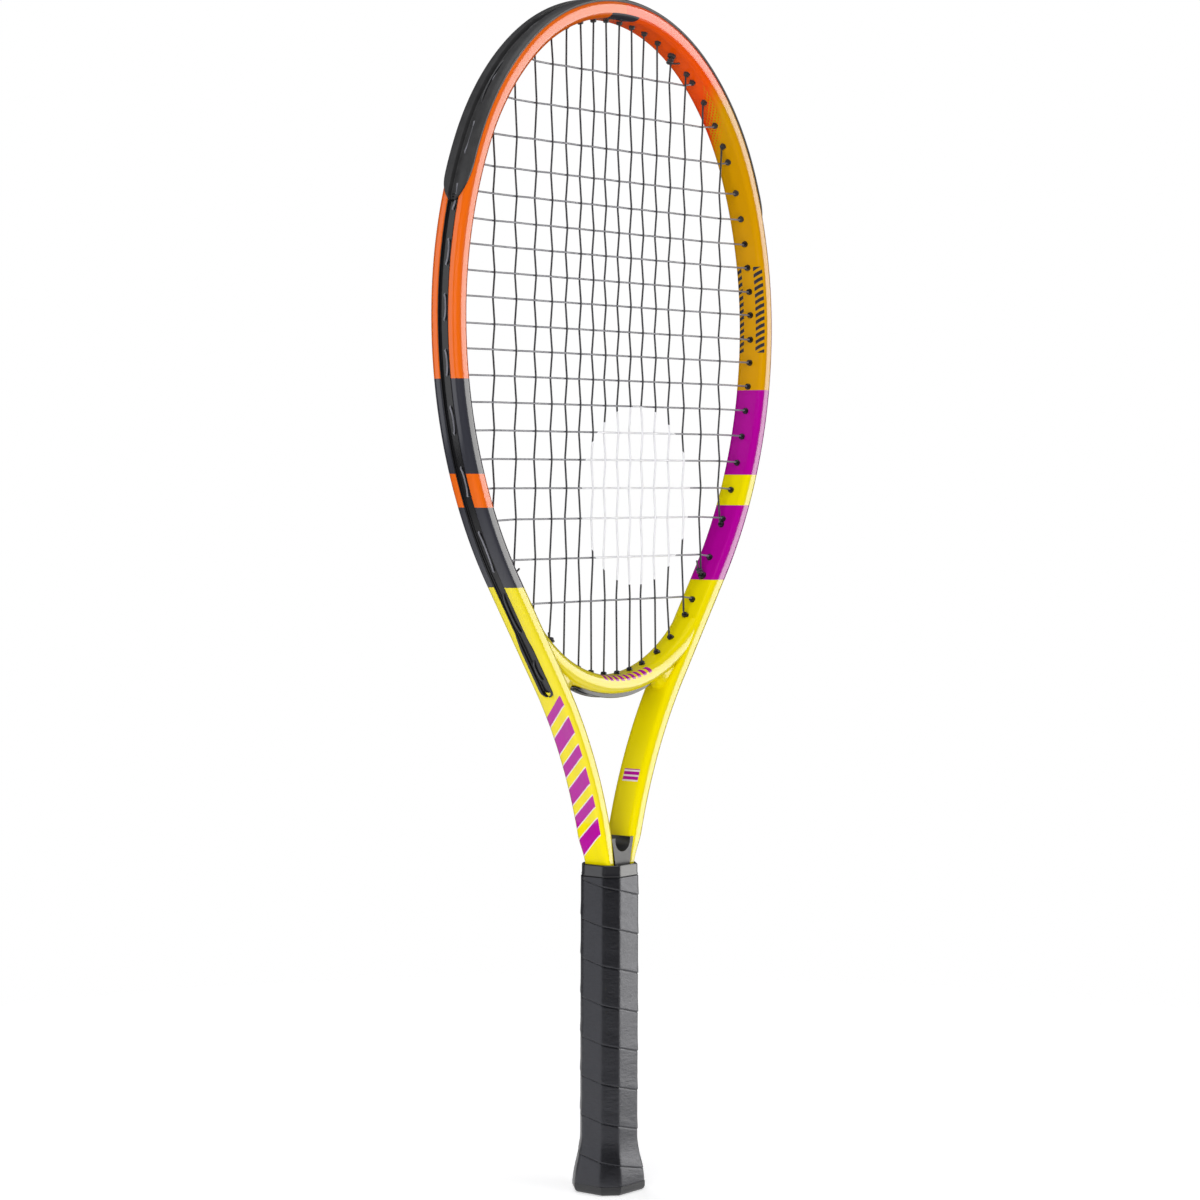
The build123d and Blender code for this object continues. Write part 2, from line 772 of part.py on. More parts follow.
neck_size = (rim_width - neck_inset, rim_depth - neck_inset, neck_bevel)
pallet_size = (pallet_width, pallet_depth, pallet_bevel)

to_leg_top = total(rim[:6])
plug_top = handle_length + plug_height
foot_at = to_leg_top - solve(lambda d: along(rim, to_leg_top - d)[0].Z - handle_length + plug_foot,
                             0, rim[5].length)
top_at = to_leg_top - solve(lambda d: along(rim, to_leg_top - d)[0].Z - plug_top,
                            0, rim[5].length)
plug_side = [along(rim, place)[0] for place in (foot_at, (foot_at + top_at) / 2, top_at)]
with BuildPart() as throat_plug:
    with BuildSketch(Plane.XZ):
        with BuildLine():
            ThreePointArc(*[flat(point) for point in plug_side])
            ThreePointArc(*[flat(mirrored(point)) for point in plug_side])
            Line(flat(plug_side[0]), flat(mirrored(plug_side[0])))
            Line(flat(plug_side[2]), flat(mirrored(plug_side[2])))
        make_face()
        with Locations((0, plug_top - plug_saddle_rise)):
            Circle(plug_saddle_radius, mode=Mode.SUBTRACT)
    extrude(amount=plug_depth / 2, both=True)
    add(tube_envelope.part, mode=Mode.SUBTRACT)
throat_plug.part.label = "throat_plug"

with BuildPart() as staple:
    for x in (-staple_crown / 2, staple_crown / 2):
        with Locations((x, -pallet_depth / 2 + staple_leg / 2, staple_height)):
            Box(staple_wire, staple_leg, staple_wire)
    with Locations((0, -pallet_depth / 2 + staple_wire / 2, staple_height)):
        Box(staple_crown + staple_wire, staple_wire, staple_wire)

with BuildPart() as butt_cap_staples:
    add(staple.part)
    mirror(about=Plane.XZ)
butt_cap_staples.part.label = "butt_cap_staples"

with BuildPart() as pallet_blank:
    prism(*pallet_size, cap_top, pallet_top)
    prism(socket_width, socket_depth, socket_bevel, leg_bottom, cap_top)
    with Locations((0, 0, leg_bottom)):
        Box(2 * leg_x, tube_depth, handle_length, align=(Align.CENTER, Align.CENTER, Align.MIN),
            mode=Mode.SUBTRACT)
    add(tube_envelope.part, mode=Mode.SUBTRACT)
    add(throat_plug.part, mode=Mode.SUBTRACT)
    add(butt_cap_staples.part, mode=Mode.SUBTRACT)

with BuildPart() as handle_pallet_front:
    add(pallet_blank.part)
    split(bisect_by=Plane.XZ)
handle_pallet_front.part.label = "handle_pallet_front"

with BuildPart() as handle_pallet_back:
    add(pallet_blank.part)
    split(bisect_by=Plane.XZ, keep=Keep.BOTTOM)
handle_pallet_back.part.label = "handle_pallet_back"

with BuildPart() as tube_end_plugs:
    for x in (-leg_x, leg_x):
        with BuildSketch(Plane.XY.offset(leg_bottom)):
            with Locations((x, 0)):
                RectangleRounded(cavity_width - 2 * end_plug_gap, cavity_depth - 2 * end_plug_gap,
                                 tube_corner - tube_wall)
    extrude(amount=end_plug_length)
tube_end_plugs.part.label = "tube_end_plugs"

with BuildPart() as butt_cap:
    prism(rim_width, rim_depth, rim_bevel, 0, rim_height)
    fillet(butt_cap.faces().sort_by(Axis.Z)[0].edges(), rim_round)
    flare(neck_size, pallet_size, rim_height, flare_top)
    prism(*pallet_size, flare_top, cap_top)
    prism(socket_width, socket_depth, socket_bevel, leg_bottom, cap_top, mode=Mode.SUBTRACT)
    prism(hatch_width, hatch_depth, hatch_bevel, 0, leg_bottom, mode=Mode.SUBTRACT)
    add(butt_cap_staples.part, mode=Mode.SUBTRACT)
butt_cap.part.label = "butt_cap"

hatch_size = (hatch_width - 2 * hatch_gap, hatch_depth - 2 * hatch_gap,
              hatch_bevel - hatch_gap * inset_leg)
with BuildPart() as trap_door:
    prism(*hatch_size, hatch_recess, hatch_height)
    prism(hatch_size[0] - 2 * hatch_wall, hatch_size[1] - 2 * hatch_wall,
          hatch_size[2] - hatch_wall * inset_leg, hatch_recess + hatch_plate, hatch_height,
          mode=Mode.SUBTRACT)
    with BuildSketch(Plane.XY.offset(hatch_recess)):
        with Locations((0, -hatch_size[1] / 2)):
            Circle(pull_radius)
    extrude(amount=hatch_plate / 2, mode=Mode.SUBTRACT)
trap_door.part.label = "trap_door"

with BuildPart() as grip_wrap:
    prism(grip_width, grip_depth, bevel_leg, flare_top, wrap_top)
    flare((rim_width, rim_depth, rim_bevel), (grip_width, grip_depth, bevel_leg),
          rim_height, flare_top)
    prism(*pallet_size, flare_top, wrap_top, mode=Mode.SUBTRACT)
    flare(neck_size, pallet_size, rim_height, flare_top, mode=Mode.SUBTRACT)
    add(tube_envelope.part, mode=Mode.SUBTRACT)
grip_wrap.part.label = "grip_wrap"

with BuildPart() as grip_collar:
    prism(grip_width - 2 * collar_inset, grip_depth - 2 * collar_inset,
          bevel_leg - collar_inset * inset_leg, wrap_top, handle_length)
    prism(*pallet_size, wrap_top, handle_length, mode=Mode.SUBTRACT)
    add(tube_envelope.part, mode=Mode.SUBTRACT)
grip_collar.part.label = "grip_collar"

pieces = (
    frame_tube, throat_bridge, throat_plug, bumper_guard, grommet_strip_left,
    grommet_strip_right, throat_grommet_strip, main_string, cross_string,
    handle_pallet_front, handle_pallet_back, tube_end_plugs, butt_cap, butt_cap_staples,
    trap_door, grip_wrap, grip_collar,
)
for piece in pieces:
    export_step(piece.part, f"parts/{piece.part.label}.step")
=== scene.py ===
from math import copysign, cos, pi, radians, sin, sqrt

import bmesh
import bpy
import numpy as np
from mathutils import Matrix, Vector


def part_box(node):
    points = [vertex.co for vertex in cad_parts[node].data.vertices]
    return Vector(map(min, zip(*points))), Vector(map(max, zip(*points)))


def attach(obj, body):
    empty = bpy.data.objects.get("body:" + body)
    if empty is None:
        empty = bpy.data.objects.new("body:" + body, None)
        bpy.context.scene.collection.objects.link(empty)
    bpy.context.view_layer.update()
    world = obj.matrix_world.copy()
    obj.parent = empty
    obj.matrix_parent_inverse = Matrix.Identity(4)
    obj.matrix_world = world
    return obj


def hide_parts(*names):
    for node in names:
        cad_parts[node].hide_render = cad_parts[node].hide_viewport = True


# Junior tennis racket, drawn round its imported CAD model. Lengths are in millimetres until a
# mesh, a light or the camera is made. The racket stands on its butt, +Z up, its front facing -Y.

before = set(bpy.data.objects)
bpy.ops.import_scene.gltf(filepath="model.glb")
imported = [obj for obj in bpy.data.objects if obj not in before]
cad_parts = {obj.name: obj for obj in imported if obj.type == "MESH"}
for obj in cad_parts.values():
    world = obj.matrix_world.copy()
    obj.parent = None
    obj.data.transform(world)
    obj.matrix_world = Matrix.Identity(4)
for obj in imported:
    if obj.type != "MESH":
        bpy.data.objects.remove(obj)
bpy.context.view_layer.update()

MM = 0.001

# Frame tube
TUBE_WIDTH, TUBE_DEPTH, TUBE_CORNER = 9.6, 18.8, 3.6
CHANNEL_WIDTH, CHANNEL_DEPTH, CHANNEL_LIP, CHANNEL_TAIL = 7.0, 2.1, 0.35, 5.5
HEAD_HALF_WIDTH, CROWN_HEIGHT = 132.0, 164.9
CROWN_TURN, SHOULDER_TURN, SHOULDER_SHARE = radians(38.3), radians(27.4), 0.94
FLANK_RADIUS, THROAT_TURN, THROAT_RADIUS = 234.0, radians(35.0), 255.0
LEG_X, LEG_TOP, LEG_BOTTOM = 5.0, 128.0, 10.0
CHANNEL_FADE = 3.0          # the channel's floor rises over this length at each of its ends
HANDLE_TOP, HANDLE_TAPER = 176.0, 17.0
HANDLE_TUCK, HANDLE_THINNING = 2.6, 0.1   # how the shafts narrow inside the handle

# Bridge, and the webs between its ends and the shafts
BRIDGE_RADIUS, BRIDGE_WIDTH, BRIDGE_DEPTH, BRIDGE_TURN = 90.0, 9.8, 17.4, radians(47.0)
BRIDGE_CORNER, BRIDGE_SINK = 4.5, 1.5
WEB_RADIUS, WEB_HALF_DEPTH = 4.2, 6.4

# Bumper, strips and grommets
BUMPER_REACH, BUMPER_TAPER, BUMPER_THICKNESS, BUMPER_SIDE = 179.5, 20.0, 1.2, 8.7
STRIP_THICKNESS, STRIP_HALF_WIDTH, STRIP_GAP, STRIP_LIP = 0.65, 3.4, 0.6, 0.6
STRIP_TUCK = 4.0            # a side strip starts this far under the bumper's end
FLANGE_REACH, FLANGE_RISE = 42.0, 12.0    # a side strip's flanges, from its lower end
THROAT_STRIP_TURN, THROAT_STRIP_HALF_WIDTH, THROAT_STRIP_LIP = radians(19.5), 4.5, 1.55
BARREL_RADIUS, BARREL_TIP, TIE_BARREL_RADIUS = 1.65, 1.8, 2.25
BEND_LEAD = 1.6
SEAT_GAP = 0.05

# Strings
STRING_DIAMETER, WEAVE_GAP, LOOP_CLEARANCE, LOOP_BOW = 1.02, 0.03, 0.1, 1.3
MAIN_STATIONS = (0.044, 0.127, 0.211, 0.302, 0.399, 0.503, 0.627, 0.764)
CROSS_STATIONS = (
    0.919, 0.858, 0.804, 0.757, 0.717, 0.678, 0.641, 0.603, 0.566, 0.527,
    0.490, 0.452, 0.413, 0.372, 0.330, 0.287, 0.241, 0.181, 0.115,
)
LAST_CROSSING = 3.0
TIE_COIL, TIE_OVER = 1.25, 1.75     # radii of a knot's turns round the main string

# Grip
GRIP_WIDTH, GRIP_DEPTH, GRIP_BEVEL = 28.8, 26.4, 6.05
BUTT_WIDTH, BUTT_DEPTH = 36.0, 33.2
FLARE_TOP, WRAP_PITCH, WRAP_OVERLAP = 27.0, 21.0, 0.55
SEAM_LEVEL, SEAM_ANGLE = 32.8, radians(-57.7)   # a seam's level at the right of the front face
SEAM_DEPTH = 0.42
WRAP_WALL, BUTT_WALL, COLLAR_WALL = 1.6, 1.8, 1.65


# ---------------------------------------------------------------- the rim's centreline
def outward(heading):
    """Unit vector away from the head's middle, for a heading clockwise from +X."""
    return np.array([sin(heading), 0.0, cos(heading)])


def forward(heading):
    return np.array([cos(heading), 0.0, -sin(heading)])


def place(stretch, travelled):
    """Point and heading at a distance along one stretch: start, heading, turn and size."""
    start, heading, turn, size = stretch
    if not turn:
        return start + forward(heading) * travelled, heading
    bent, side = copysign(travelled / size, turn), copysign(size, turn)
    centre = start - outward(heading) * side
    return centre + outward(heading + bent) * side, heading + bent


def length_of(stretch):
    return abs(stretch[2]) * stretch[3] if stretch[2] else stretch[3]


def chained(start, turns_and_sizes):
    stretches, heading = [], 0.0
    for turn, size in turns_and_sizes:
        stretches.append((start, heading, turn, size))
        start, heading = place(stretches[-1], length_of(stretches[-1]))
    return stretches


shoulder_radius = SHOULDER_SHARE * sqrt(HEAD_HALF_WIDTH * CROWN_HEIGHT)
c1, s1 = cos(CROWN_TURN), sin(CROWN_TURN)
c2, s2 = cos(CROWN_TURN + SHOULDER_TURN), sin(CROWN_TURN + SHOULDER_TURN)
wide_left = HEAD_HALF_WIDTH - shoulder_radius * (s2 - s1)
high_left = CROWN_HEIGHT - shoulder_radius * (c1 - c2)
determinant = s1 * c2 - (1 - s2) * (1 - c1)
crown_radius = (wide_left * c2 - (1 - s2) * high_left) / determinant
side_radius = (s1 * high_left - (1 - c1) * wide_left) / determinant
throat_sin, throat_cos = sin(THROAT_TURN), cos(THROAT_TURN)
shaft_length = (
    HEAD_HALF_WIDTH - LEG_X - (FLANK_RADIUS + THROAT_RADIUS) * (1 - throat_cos)
) / throat_sin
widest_z = LEG_TOP + (FLANK_RADIUS + THROAT_RADIUS) * throat_sin + shaft_length * throat_cos
crown_top = widest_z + CROWN_HEIGHT
rim = chained(np.array([0.0, 0.0, crown_top]), [
    (CROWN_TURN, crown_radius),
    (SHOULDER_TURN, shoulder_radius),
    (pi / 2 - CROWN_TURN - SHOULDER_TURN, side_radius),
    (THROAT_TURN, FLANK_RADIUS),
    (0, shaft_length),
    (-THROAT_TURN, THROAT_RADIUS),
    (0, LEG_TOP - LEG_BOTTOM),
])
to_widest = sum(length_of(stretch) for stretch in rim[:3])
to_shaft_end = sum(length_of(stretch) for stretch in rim[:5])
to_channel_end = to_shaft_end + CHANNEL_TAIL
to_leg_bottom = sum(length_of(stretch) for stretch in rim)


def rim_at(distance):
    """Centreline point and outward vector at a distance from the top, negative on the left."""
    left = abs(distance)
    for stretch in rim:
        if left <= length_of(stretch) or stretch is rim[-1]:
            break
        left -= length_of(stretch)
    point, heading = place(stretch, left)
    side = np.array([copysign(1, distance), 1, 1])
    return point * side, outward(heading) * side


shaft_end = rim[5][0]
bridge_centre = np.array([0, 0, shaft_end[2] - (
    shaft_end[0] * throat_cos - TUBE_WIDTH / 2 - BRIDGE_RADIUS) / throat_sin])
under_radius = BRIDGE_RADIUS + BRIDGE_WIDTH
shaft_outward = outward(pi / 2 + THROAT_TURN)
half_width_clear = HEAD_HALF_WIDTH - TUBE_WIDTH / 2
bottom_clear = bridge_centre[2] - BRIDGE_RADIUS
length_clear = crown_top - TUBE_WIDTH / 2 - bottom_clear
strip_top = TUBE_WIDTH / 2 - CHANNEL_DEPTH + STRIP_THICKNESS
string_radius = STRING_DIAMETER / 2
loop_height = strip_top + string_radius + LOOP_CLEARANCE


# ---------------------------------------------------------------- mesh building
class Shape:
    """Vertices and faces gathered for one piece."""

    def __init__(self):
        self.points, self.faces, self.count = [], [], 0

    def skin(self, rings, capped=True):
        """Adds closed rings of points, joined one to the next: flat ends, or last ring to first."""
        rings = np.asarray(rings, float)
        turns, around_count = rings.shape[:2]
        grid = self.count + np.arange(turns * around_count).reshape(turns, around_count)
        following = np.roll(grid, -1, axis=1)
        quads = np.stack([grid[:-1], following[:-1], following[1:], grid[1:]], axis=-1)
        self.points.append(rings.reshape(-1, 3))
        self.faces += quads.reshape(-1, 4).tolist()
        if capped:
            self.faces += [grid[0][::-1].tolist(), grid[-1].tolist()]
        else:
            last, first = grid[-1], grid[0]
            ends = np.stack([last, np.roll(last, -1), np.roll(first, -1), first], axis=-1)
            self.faces += ends.tolist()
        self.count += turns * around_count

    def lathe(self, tip, aim, profile, sides=24):
        """Adds a turned solid: profile holds distances from tip along aim, with radii."""
        across = np.cross(aim, [0, 1, 0])
        angles = np.linspace(0, 2 * pi, sides, endpoint=False)
        spokes = np.outer(np.cos(angles), across) + np.outer(np.sin(angles), [0, 1, 0])
        self.skin([tip + aim * t + spokes * r for t, r in profile])

    def tube(self, path, radius, sides=10):
        """Adds a round bar along points close enough together to look smooth."""
        path = np.asarray(path, float)
        along = np.gradient(path, axis=0)
        along /= np.linalg.norm(along, axis=1)[:, None]
        normal = np.cross(along[0], [0.3, 0.2, 0.9])
        angles = np.linspace(0, 2 * pi, sides, endpoint=False)[:, None]
        rings = []
        for point, tangent in zip(path, along):
            normal = normal - tangent * normal.dot(tangent)
            normal /= np.linalg.norm(normal)
            binormal = np.cross(tangent, normal)
            rings.append(point + radius * (np.cos(angles) * normal + np.sin(angles) * binormal))
        self.skin(rings)


def make_piece(name, shape, material, replaces=(), body="racket", crease=radians(38)):
    mesh = bpy.data.meshes.new(name)
    mesh.from_pydata((np.concatenate(shape.points) * MM).tolist(), [], shape.faces)
    gathered = bmesh.new()
    gathered.from_mesh(mesh)
    bmesh.ops.recalc_face_normals(gathered, faces=gathered.faces)
    gathered.to_mesh(mesh)
    gathered.free()
    mesh.polygons.foreach_set("use_smooth", [True] * len(mesh.polygons))
    mesh.set_sharp_from_angle(angle=crease)
    mesh.materials.append(material)
    piece = bpy.data.objects.new(name, mesh)
    bpy.context.scene.collection.objects.link(piece)
    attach(piece, body)
    if replaces:
        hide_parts(*replaces)
    return piece


def smooth(t):
    """0 below 0 and 1 above 1, easing in and out between them."""
    t = min(max(t, 0.0), 1.0)
    return t * t * (3 - 2 * t)


def unique_steps(low, high, step):
    return np.linspace(low, high, max(2, int(round(abs(high - low) / step)) + 1))


# ---------------------------------------------------------------- materials
class Nodes:
    """Short ways to build one material's node tree."""

    def __init__(self, name):
        self.material = bpy.data.materials.new(name)
        self.material.use_nodes = True
        self.tree = self.material.node_tree
        self.shader = self.tree.nodes["Principled BSDF"]
        self.where = self.tree.nodes.new("ShaderNodeTexCoord").outputs["Object"]
        split = self.tree.nodes.new("ShaderNodeSeparateXYZ")
        self.tree.links.new(self.where, split.inputs[0])
        self.x, self.y, self.z = split.outputs

    def facing(self):
        """The parts of the surface's own normal along X, Y and Z."""
        geometry = self.tree.nodes.new("ShaderNodeNewGeometry")
        split = self.tree.nodes.new("ShaderNodeSeparateXYZ")
        self.tree.links.new(geometry.outputs["Normal"], split.inputs[0])
        return split.outputs

    def put(self, socket, value):
        if isinstance(value, bpy.types.NodeSocket):
            self.tree.links.new(value, socket)
        else:
            socket.default_value = value

    def math(self, operation, *values):
        node = self.tree.nodes.new("ShaderNodeMath")
        node.operation = operation
        for socket, value in zip(node.inputs, values):
            self.put(socket, value)
        return node.outputs[0]

    def above(self, value, level):
        return self.math("GREATER_THAN", value, level)

    def below(self, value, level):
        return self.math("LESS_THAN", value, level)

    def between(self, value, low, high):
        return self.math("MULTIPLY", self.above(value, low), self.below(value, high))

    def cell(self, value, pitch):
        """How far value is through its step of one pitch, from 0 to 1."""
        return self.math("FRACT", self.math("DIVIDE", value, pitch))

    def both(self, *masks):
        result = masks[0]
        for mask in masks[1:]:
            result = self.math("MULTIPLY", result, mask)
        return result

    def ramp(self, value, low, high):
        """0 below low and 1 above high, straight between them."""
        node = self.tree.nodes.new("ShaderNodeMapRange")
        node.inputs["From Min"].default_value = low
        node.inputs["From Max"].default_value = high
        self.put(node.inputs["Value"], value)
        return node.outputs[0]

    def mix_numbers(self, mask, first, second):
        """Between two numbers, by a mask."""
        node = self.tree.nodes.new("ShaderNodeMix")
        for socket, value in zip((node.inputs[0], node.inputs[2], node.inputs[3]),
                                 (mask, first, second)):
            self.put(socket, value)
        return node.outputs[0]

    def mix(self, mask, first, second):
        """Between two colours, by a mask."""
        node = self.tree.nodes.new("ShaderNodeMix")
        node.data_type = "RGBA"
        self.put(node.inputs[0], mask)
        self.put(node.inputs[6], first)
        self.put(node.inputs[7], second)
        return node.outputs[2]

    def noise(self, scale, detail=4.0, stretch=(1, 1, 1)):
        mapping = self.tree.nodes.new("ShaderNodeMapping")
        mapping.inputs["Scale"].default_value = stretch
        self.tree.links.new(self.where, mapping.inputs[0])
        node = self.tree.nodes.new("ShaderNodeTexNoise")
        node.inputs["Scale"].default_value = scale
        node.inputs["Detail"].default_value = detail
        self.tree.links.new(mapping.outputs[0], node.inputs["Vector"])
        return node.outputs[0]

    def cells(self, scale):
        node = self.tree.nodes.new("ShaderNodeTexVoronoi")
        node.inputs["Scale"].default_value = scale
        self.tree.links.new(self.where, node.inputs["Vector"])
        return node.outputs[0]

    def bump(self, height, strength, distance):
        node = self.tree.nodes.new("ShaderNodeBump")
        node.inputs["Strength"].default_value = strength
        node.inputs["Distance"].default_value = distance
        self.put(node.inputs["Height"], height)
        self.tree.links.new(node.outputs[0], self.shader.inputs["Normal"])

    def set(self, **values):
        for name, value in values.items():
            self.put(self.shader.inputs[name.replace("_", " ")], value)


def colour(red, green, blue):
    return (red, green, blue, 1.0)


def varied(nodes, base, amount, scale):
    """The base colour with a soft cloudiness."""
    darker = colour(*(channel * (1 - amount) for channel in base[:3]))
    return nodes.mix(nodes.ramp(nodes.noise(scale), 0.35, 0.65), darker, base)


ORANGE, DEEP_ORANGE = colour(0.88, 0.145, 0.001), colour(0.92, 0.040, 0.001)
TOP_ORANGE = colour(0.97, 0.095, 0.001)
AMBER, YELLOW = colour(0.70, 0.33, 0.0), colour(0.87, 0.73, 0.0)
BLACK, PALE = colour(0.034, 0.035, 0.045), colour(0.8, 0.7, 0.72)
MAGENTA, INK = colour(0.44, 0.001, 0.31), colour(0.88, 0.88, 0.9)

# Places in the materials are in metres, as their coordinates are.
# Levels of the paint's bands, the same on both sides
HEAD_BAND, MIDDLE_HIGH, MIDDLE_LOW, THROAT_BAND = 0.4310, 0.3835, 0.3665, 0.3255
HALFTONE_PITCH, HALFTONE_EDGE = 0.00255, 0.0056
BLADE_PITCH, BLADE_LOW, BLADE_HIGH, BLADE_EDGE = 0.0138, 0.184, 0.262, 0.0078
TICK_PITCH, TICK_LOW, TICK_HIGH = 0.0037, 0.452, 0.500
DASH_PITCH, PATCH_PITCH = 0.0048, 0.0026
DISC_X, DISC_Z, DISC_RADIUS = 0.022, 0.372, 0.048


def glossy(nodes, sheltered):
    """Lacquer, with less shine where the sheltered mask is 1."""
    nodes.set(Roughness=0.22, Coat_Roughness=0.08,
              Specular_IOR_Level=nodes.math("MULTIPLY_ADD", sheltered, -0.40, 0.48),
              Coat_Weight=nodes.math("MULTIPLY_ADD", sheltered, -0.25, 0.25))
    nodes.bump(nodes.noise(700, 2), 0.03, 0.0002)


def band_colours(nodes, upper, band):
    """Bands going down one side: upper, band, a bright stripe, band, and yellow below."""
    stripe = ORANGE if band is BLACK else YELLOW
    result = nodes.mix(nodes.above(nodes.z, THROAT_BAND), YELLOW, band)
    result = nodes.mix(nodes.between(nodes.z, MIDDLE_LOW, MIDDLE_HIGH), result, stripe)
    return nodes.mix(nodes.above(nodes.z, HEAD_BAND), result, upper)


def halftone(nodes):
    """Orange over amber on the right side, meeting in rows of diamonds that shrink downwards."""
    level = nodes.math("MULTIPLY_ADD", nodes.y, 1.6, nodes.z)
    spread = []
    for slope in (1.15, -1.15):
        slanted = nodes.math("ADD", nodes.z, nodes.math("MULTIPLY", nodes.y, slope))
        off_middle = nodes.math("SUBTRACT", nodes.cell(slanted, HALFTONE_PITCH), 0.5)
        spread.append(nodes.math("ABSOLUTE", off_middle))
    nearest = nodes.math("MAXIMUM", *spread)
    size = nodes.math("MULTIPLY", nodes.ramp(level, 0.563, 0.590), 0.52)
    inner_face = nodes.between(nodes.y, -HALFTONE_EDGE, HALFTONE_EDGE)
    dots = nodes.mix_numbers(inner_face, nodes.ramp(level, 0.570, 0.584), nodes.above(size, nearest))
    return nodes.mix(dots, AMBER, nodes.mix(nodes.ramp(nodes.z, 0.57, 0.60), DEEP_ORANGE, TOP_ORANGE))


def with_blades(nodes, shade, facing_x):
    """Slanted magenta blades with pale edges, down the outside of the left shaft."""
    slanted = nodes.math("MULTIPLY_ADD", nodes.y, 0.85, nodes.z)
    turn = nodes.math("DIVIDE", nodes.math("SUBTRACT", slanted, BLADE_LOW), BLADE_PITCH)
    odd = nodes.above(nodes.cell(turn, 2.0), 0.5)
    half = nodes.math("MULTIPLY_ADD", odd, -0.09, 0.31)     # every other blade is thinner
    away = nodes.math("ABSOLUTE", nodes.math("SUBTRACT", nodes.math("FRACT", turn), 0.5))
    inside = nodes.both(
        nodes.between(slanted, BLADE_LOW, BLADE_HIGH), nodes.between(nodes.y, -BLADE_EDGE, BLADE_EDGE),
        nodes.below(nodes.x, 0), nodes.below(facing_x, -0.45))
    edge = nodes.both(inside, nodes.below(away, nodes.math("ADD", half, 0.05)))
    blade = nodes.both(inside, nodes.below(away, half))
    return nodes.mix(blade, nodes.mix(edge, shade, PALE), MAGENTA)


def with_ticks(nodes, shade, right, facing_x):
    """Two rows of leaning black ticks, on the right side's inner and front faces."""
    inner_row = nodes.both(nodes.between(nodes.y, 0.0046, 0.0082), nodes.below(facing_x, -0.5))
    outer_row = nodes.both(nodes.between(nodes.y, -0.0086, -0.0034), nodes.below(facing_x, -0.3))
    lean = nodes.math("MULTIPLY_ADD", nodes.y, 0.5, nodes.z)
    tick = nodes.both(
        right, nodes.between(nodes.z, TICK_LOW, TICK_HIGH), nodes.math("MAXIMUM", inner_row, outer_row),
        nodes.below(nodes.cell(lean, TICK_PITCH), 0.55))
    return nodes.mix(tick, shade, BLACK)


def with_top_dash(nodes, shade, facing_z):
    """A black dash inside the top."""
    lean = nodes.math("MULTIPLY_ADD", nodes.y, 0.8, nodes.x)
    dash = nodes.both(
        nodes.above(nodes.z, 0.55), nodes.between(lean, -0.0190, 0.0040),
        nodes.below(nodes.y, -0.0020), nodes.below(facing_z, -0.3))
    return nodes.mix(dash, shade, BLACK)


def with_patch(nodes, shade, right, facing_x):
    """A small patch of two pale lines, inside the right shaft."""
    patch = nodes.both(
        right, nodes.below(facing_x, -0.4),
        nodes.between(nodes.y, -0.0058, 0.0045), nodes.between(nodes.z, 0.2185, 0.2250))
    line = nodes.below(nodes.cell(nodes.z, PATCH_PITCH), 0.35)
    return nodes.mix(patch, shade, nodes.mix(line, MAGENTA, PALE))


def frame_paint():
    nodes = Nodes("frame_paint")
    facing_x, _, facing_z = nodes.facing()
    right = nodes.above(nodes.x, 0)
    shade = nodes.mix(right, band_colours(nodes, ORANGE, BLACK),
                      band_colours(nodes, halftone(nodes), MAGENTA))
    shade = with_blades(nodes, shade, facing_x)
    shade = with_ticks(nodes, shade, right, facing_x)
    shade = with_top_dash(nodes, shade, facing_z)
    shade = with_patch(nodes, shade, right, facing_x)
    nodes.set(Base_Color=shade)
    inside_right = nodes.both(nodes.above(nodes.x, -0.02), nodes.below(facing_x, -0.3))
    inside_top = nodes.both(nodes.above(nodes.z, 0.5), nodes.below(facing_z, -0.3))
    glossy(nodes, nodes.math("MAXIMUM", inside_right, inside_top))
    return nodes.material


def bridge_paint():
    """Yellow, with a row of short leaning magenta dashes along the front of its string side."""
    nodes = Nodes("bridge_paint")
    facing_x, _, facing_z = nodes.facing()
    lean = nodes.math("MULTIPLY_ADD", nodes.y, 0.5, nodes.x)
    dashes = nodes.both(
        nodes.between(nodes.x, -0.016, 0.026), nodes.between(nodes.y, -0.0084, -0.0048),
        nodes.above(facing_z, 0.12), nodes.below(nodes.cell(lean, DASH_PITCH), 0.6))
    nodes.set(Base_Color=nodes.mix(dashes, YELLOW, MAGENTA))
    glossy(nodes, nodes.below(facing_x, -0.3))
    return nodes.material


def moulded(name, base, roughness, grain=0.12, specular=0.5, metallic=0.0):
    """Plastic, rubber, foam or steel, with a fine grain and a little cloudiness."""
    nodes = Nodes(name)
    nodes.set(Base_Color=varied(nodes, base, 0.25, 160), Roughness=roughness,
              Specular_IOR_Level=specular, Metallic=metallic)
    nodes.bump(nodes.noise(2600, 3), grain, 0.0003)
    return nodes.material


def string_material(name, base, roughness):
    """Monofilament, with one plain white disc stencilled over the string bed."""
    nodes = Nodes(name)
    squares = [nodes.math("POWER", nodes.math("ABSOLUTE", nodes.math("SUBTRACT", axis, middle)), 2.0)
               for axis, middle in ((nodes.x, DISC_X), (nodes.z, DISC_Z))]
    distance = nodes.math("SQRT", nodes.math("ADD", *squares))
    worn = nodes.math("MULTIPLY_ADD", nodes.noise(900), 0.0012, distance)
    ink = nodes.below(worn, DISC_RADIUS + 0.0006)
    nodes.set(Base_Color=nodes.mix(ink, varied(nodes, base, 0.3, 300), INK), Roughness=roughness)
    nodes.bump(nodes.noise(1800, 2), 0.04, 0.0002)
    return nodes.material


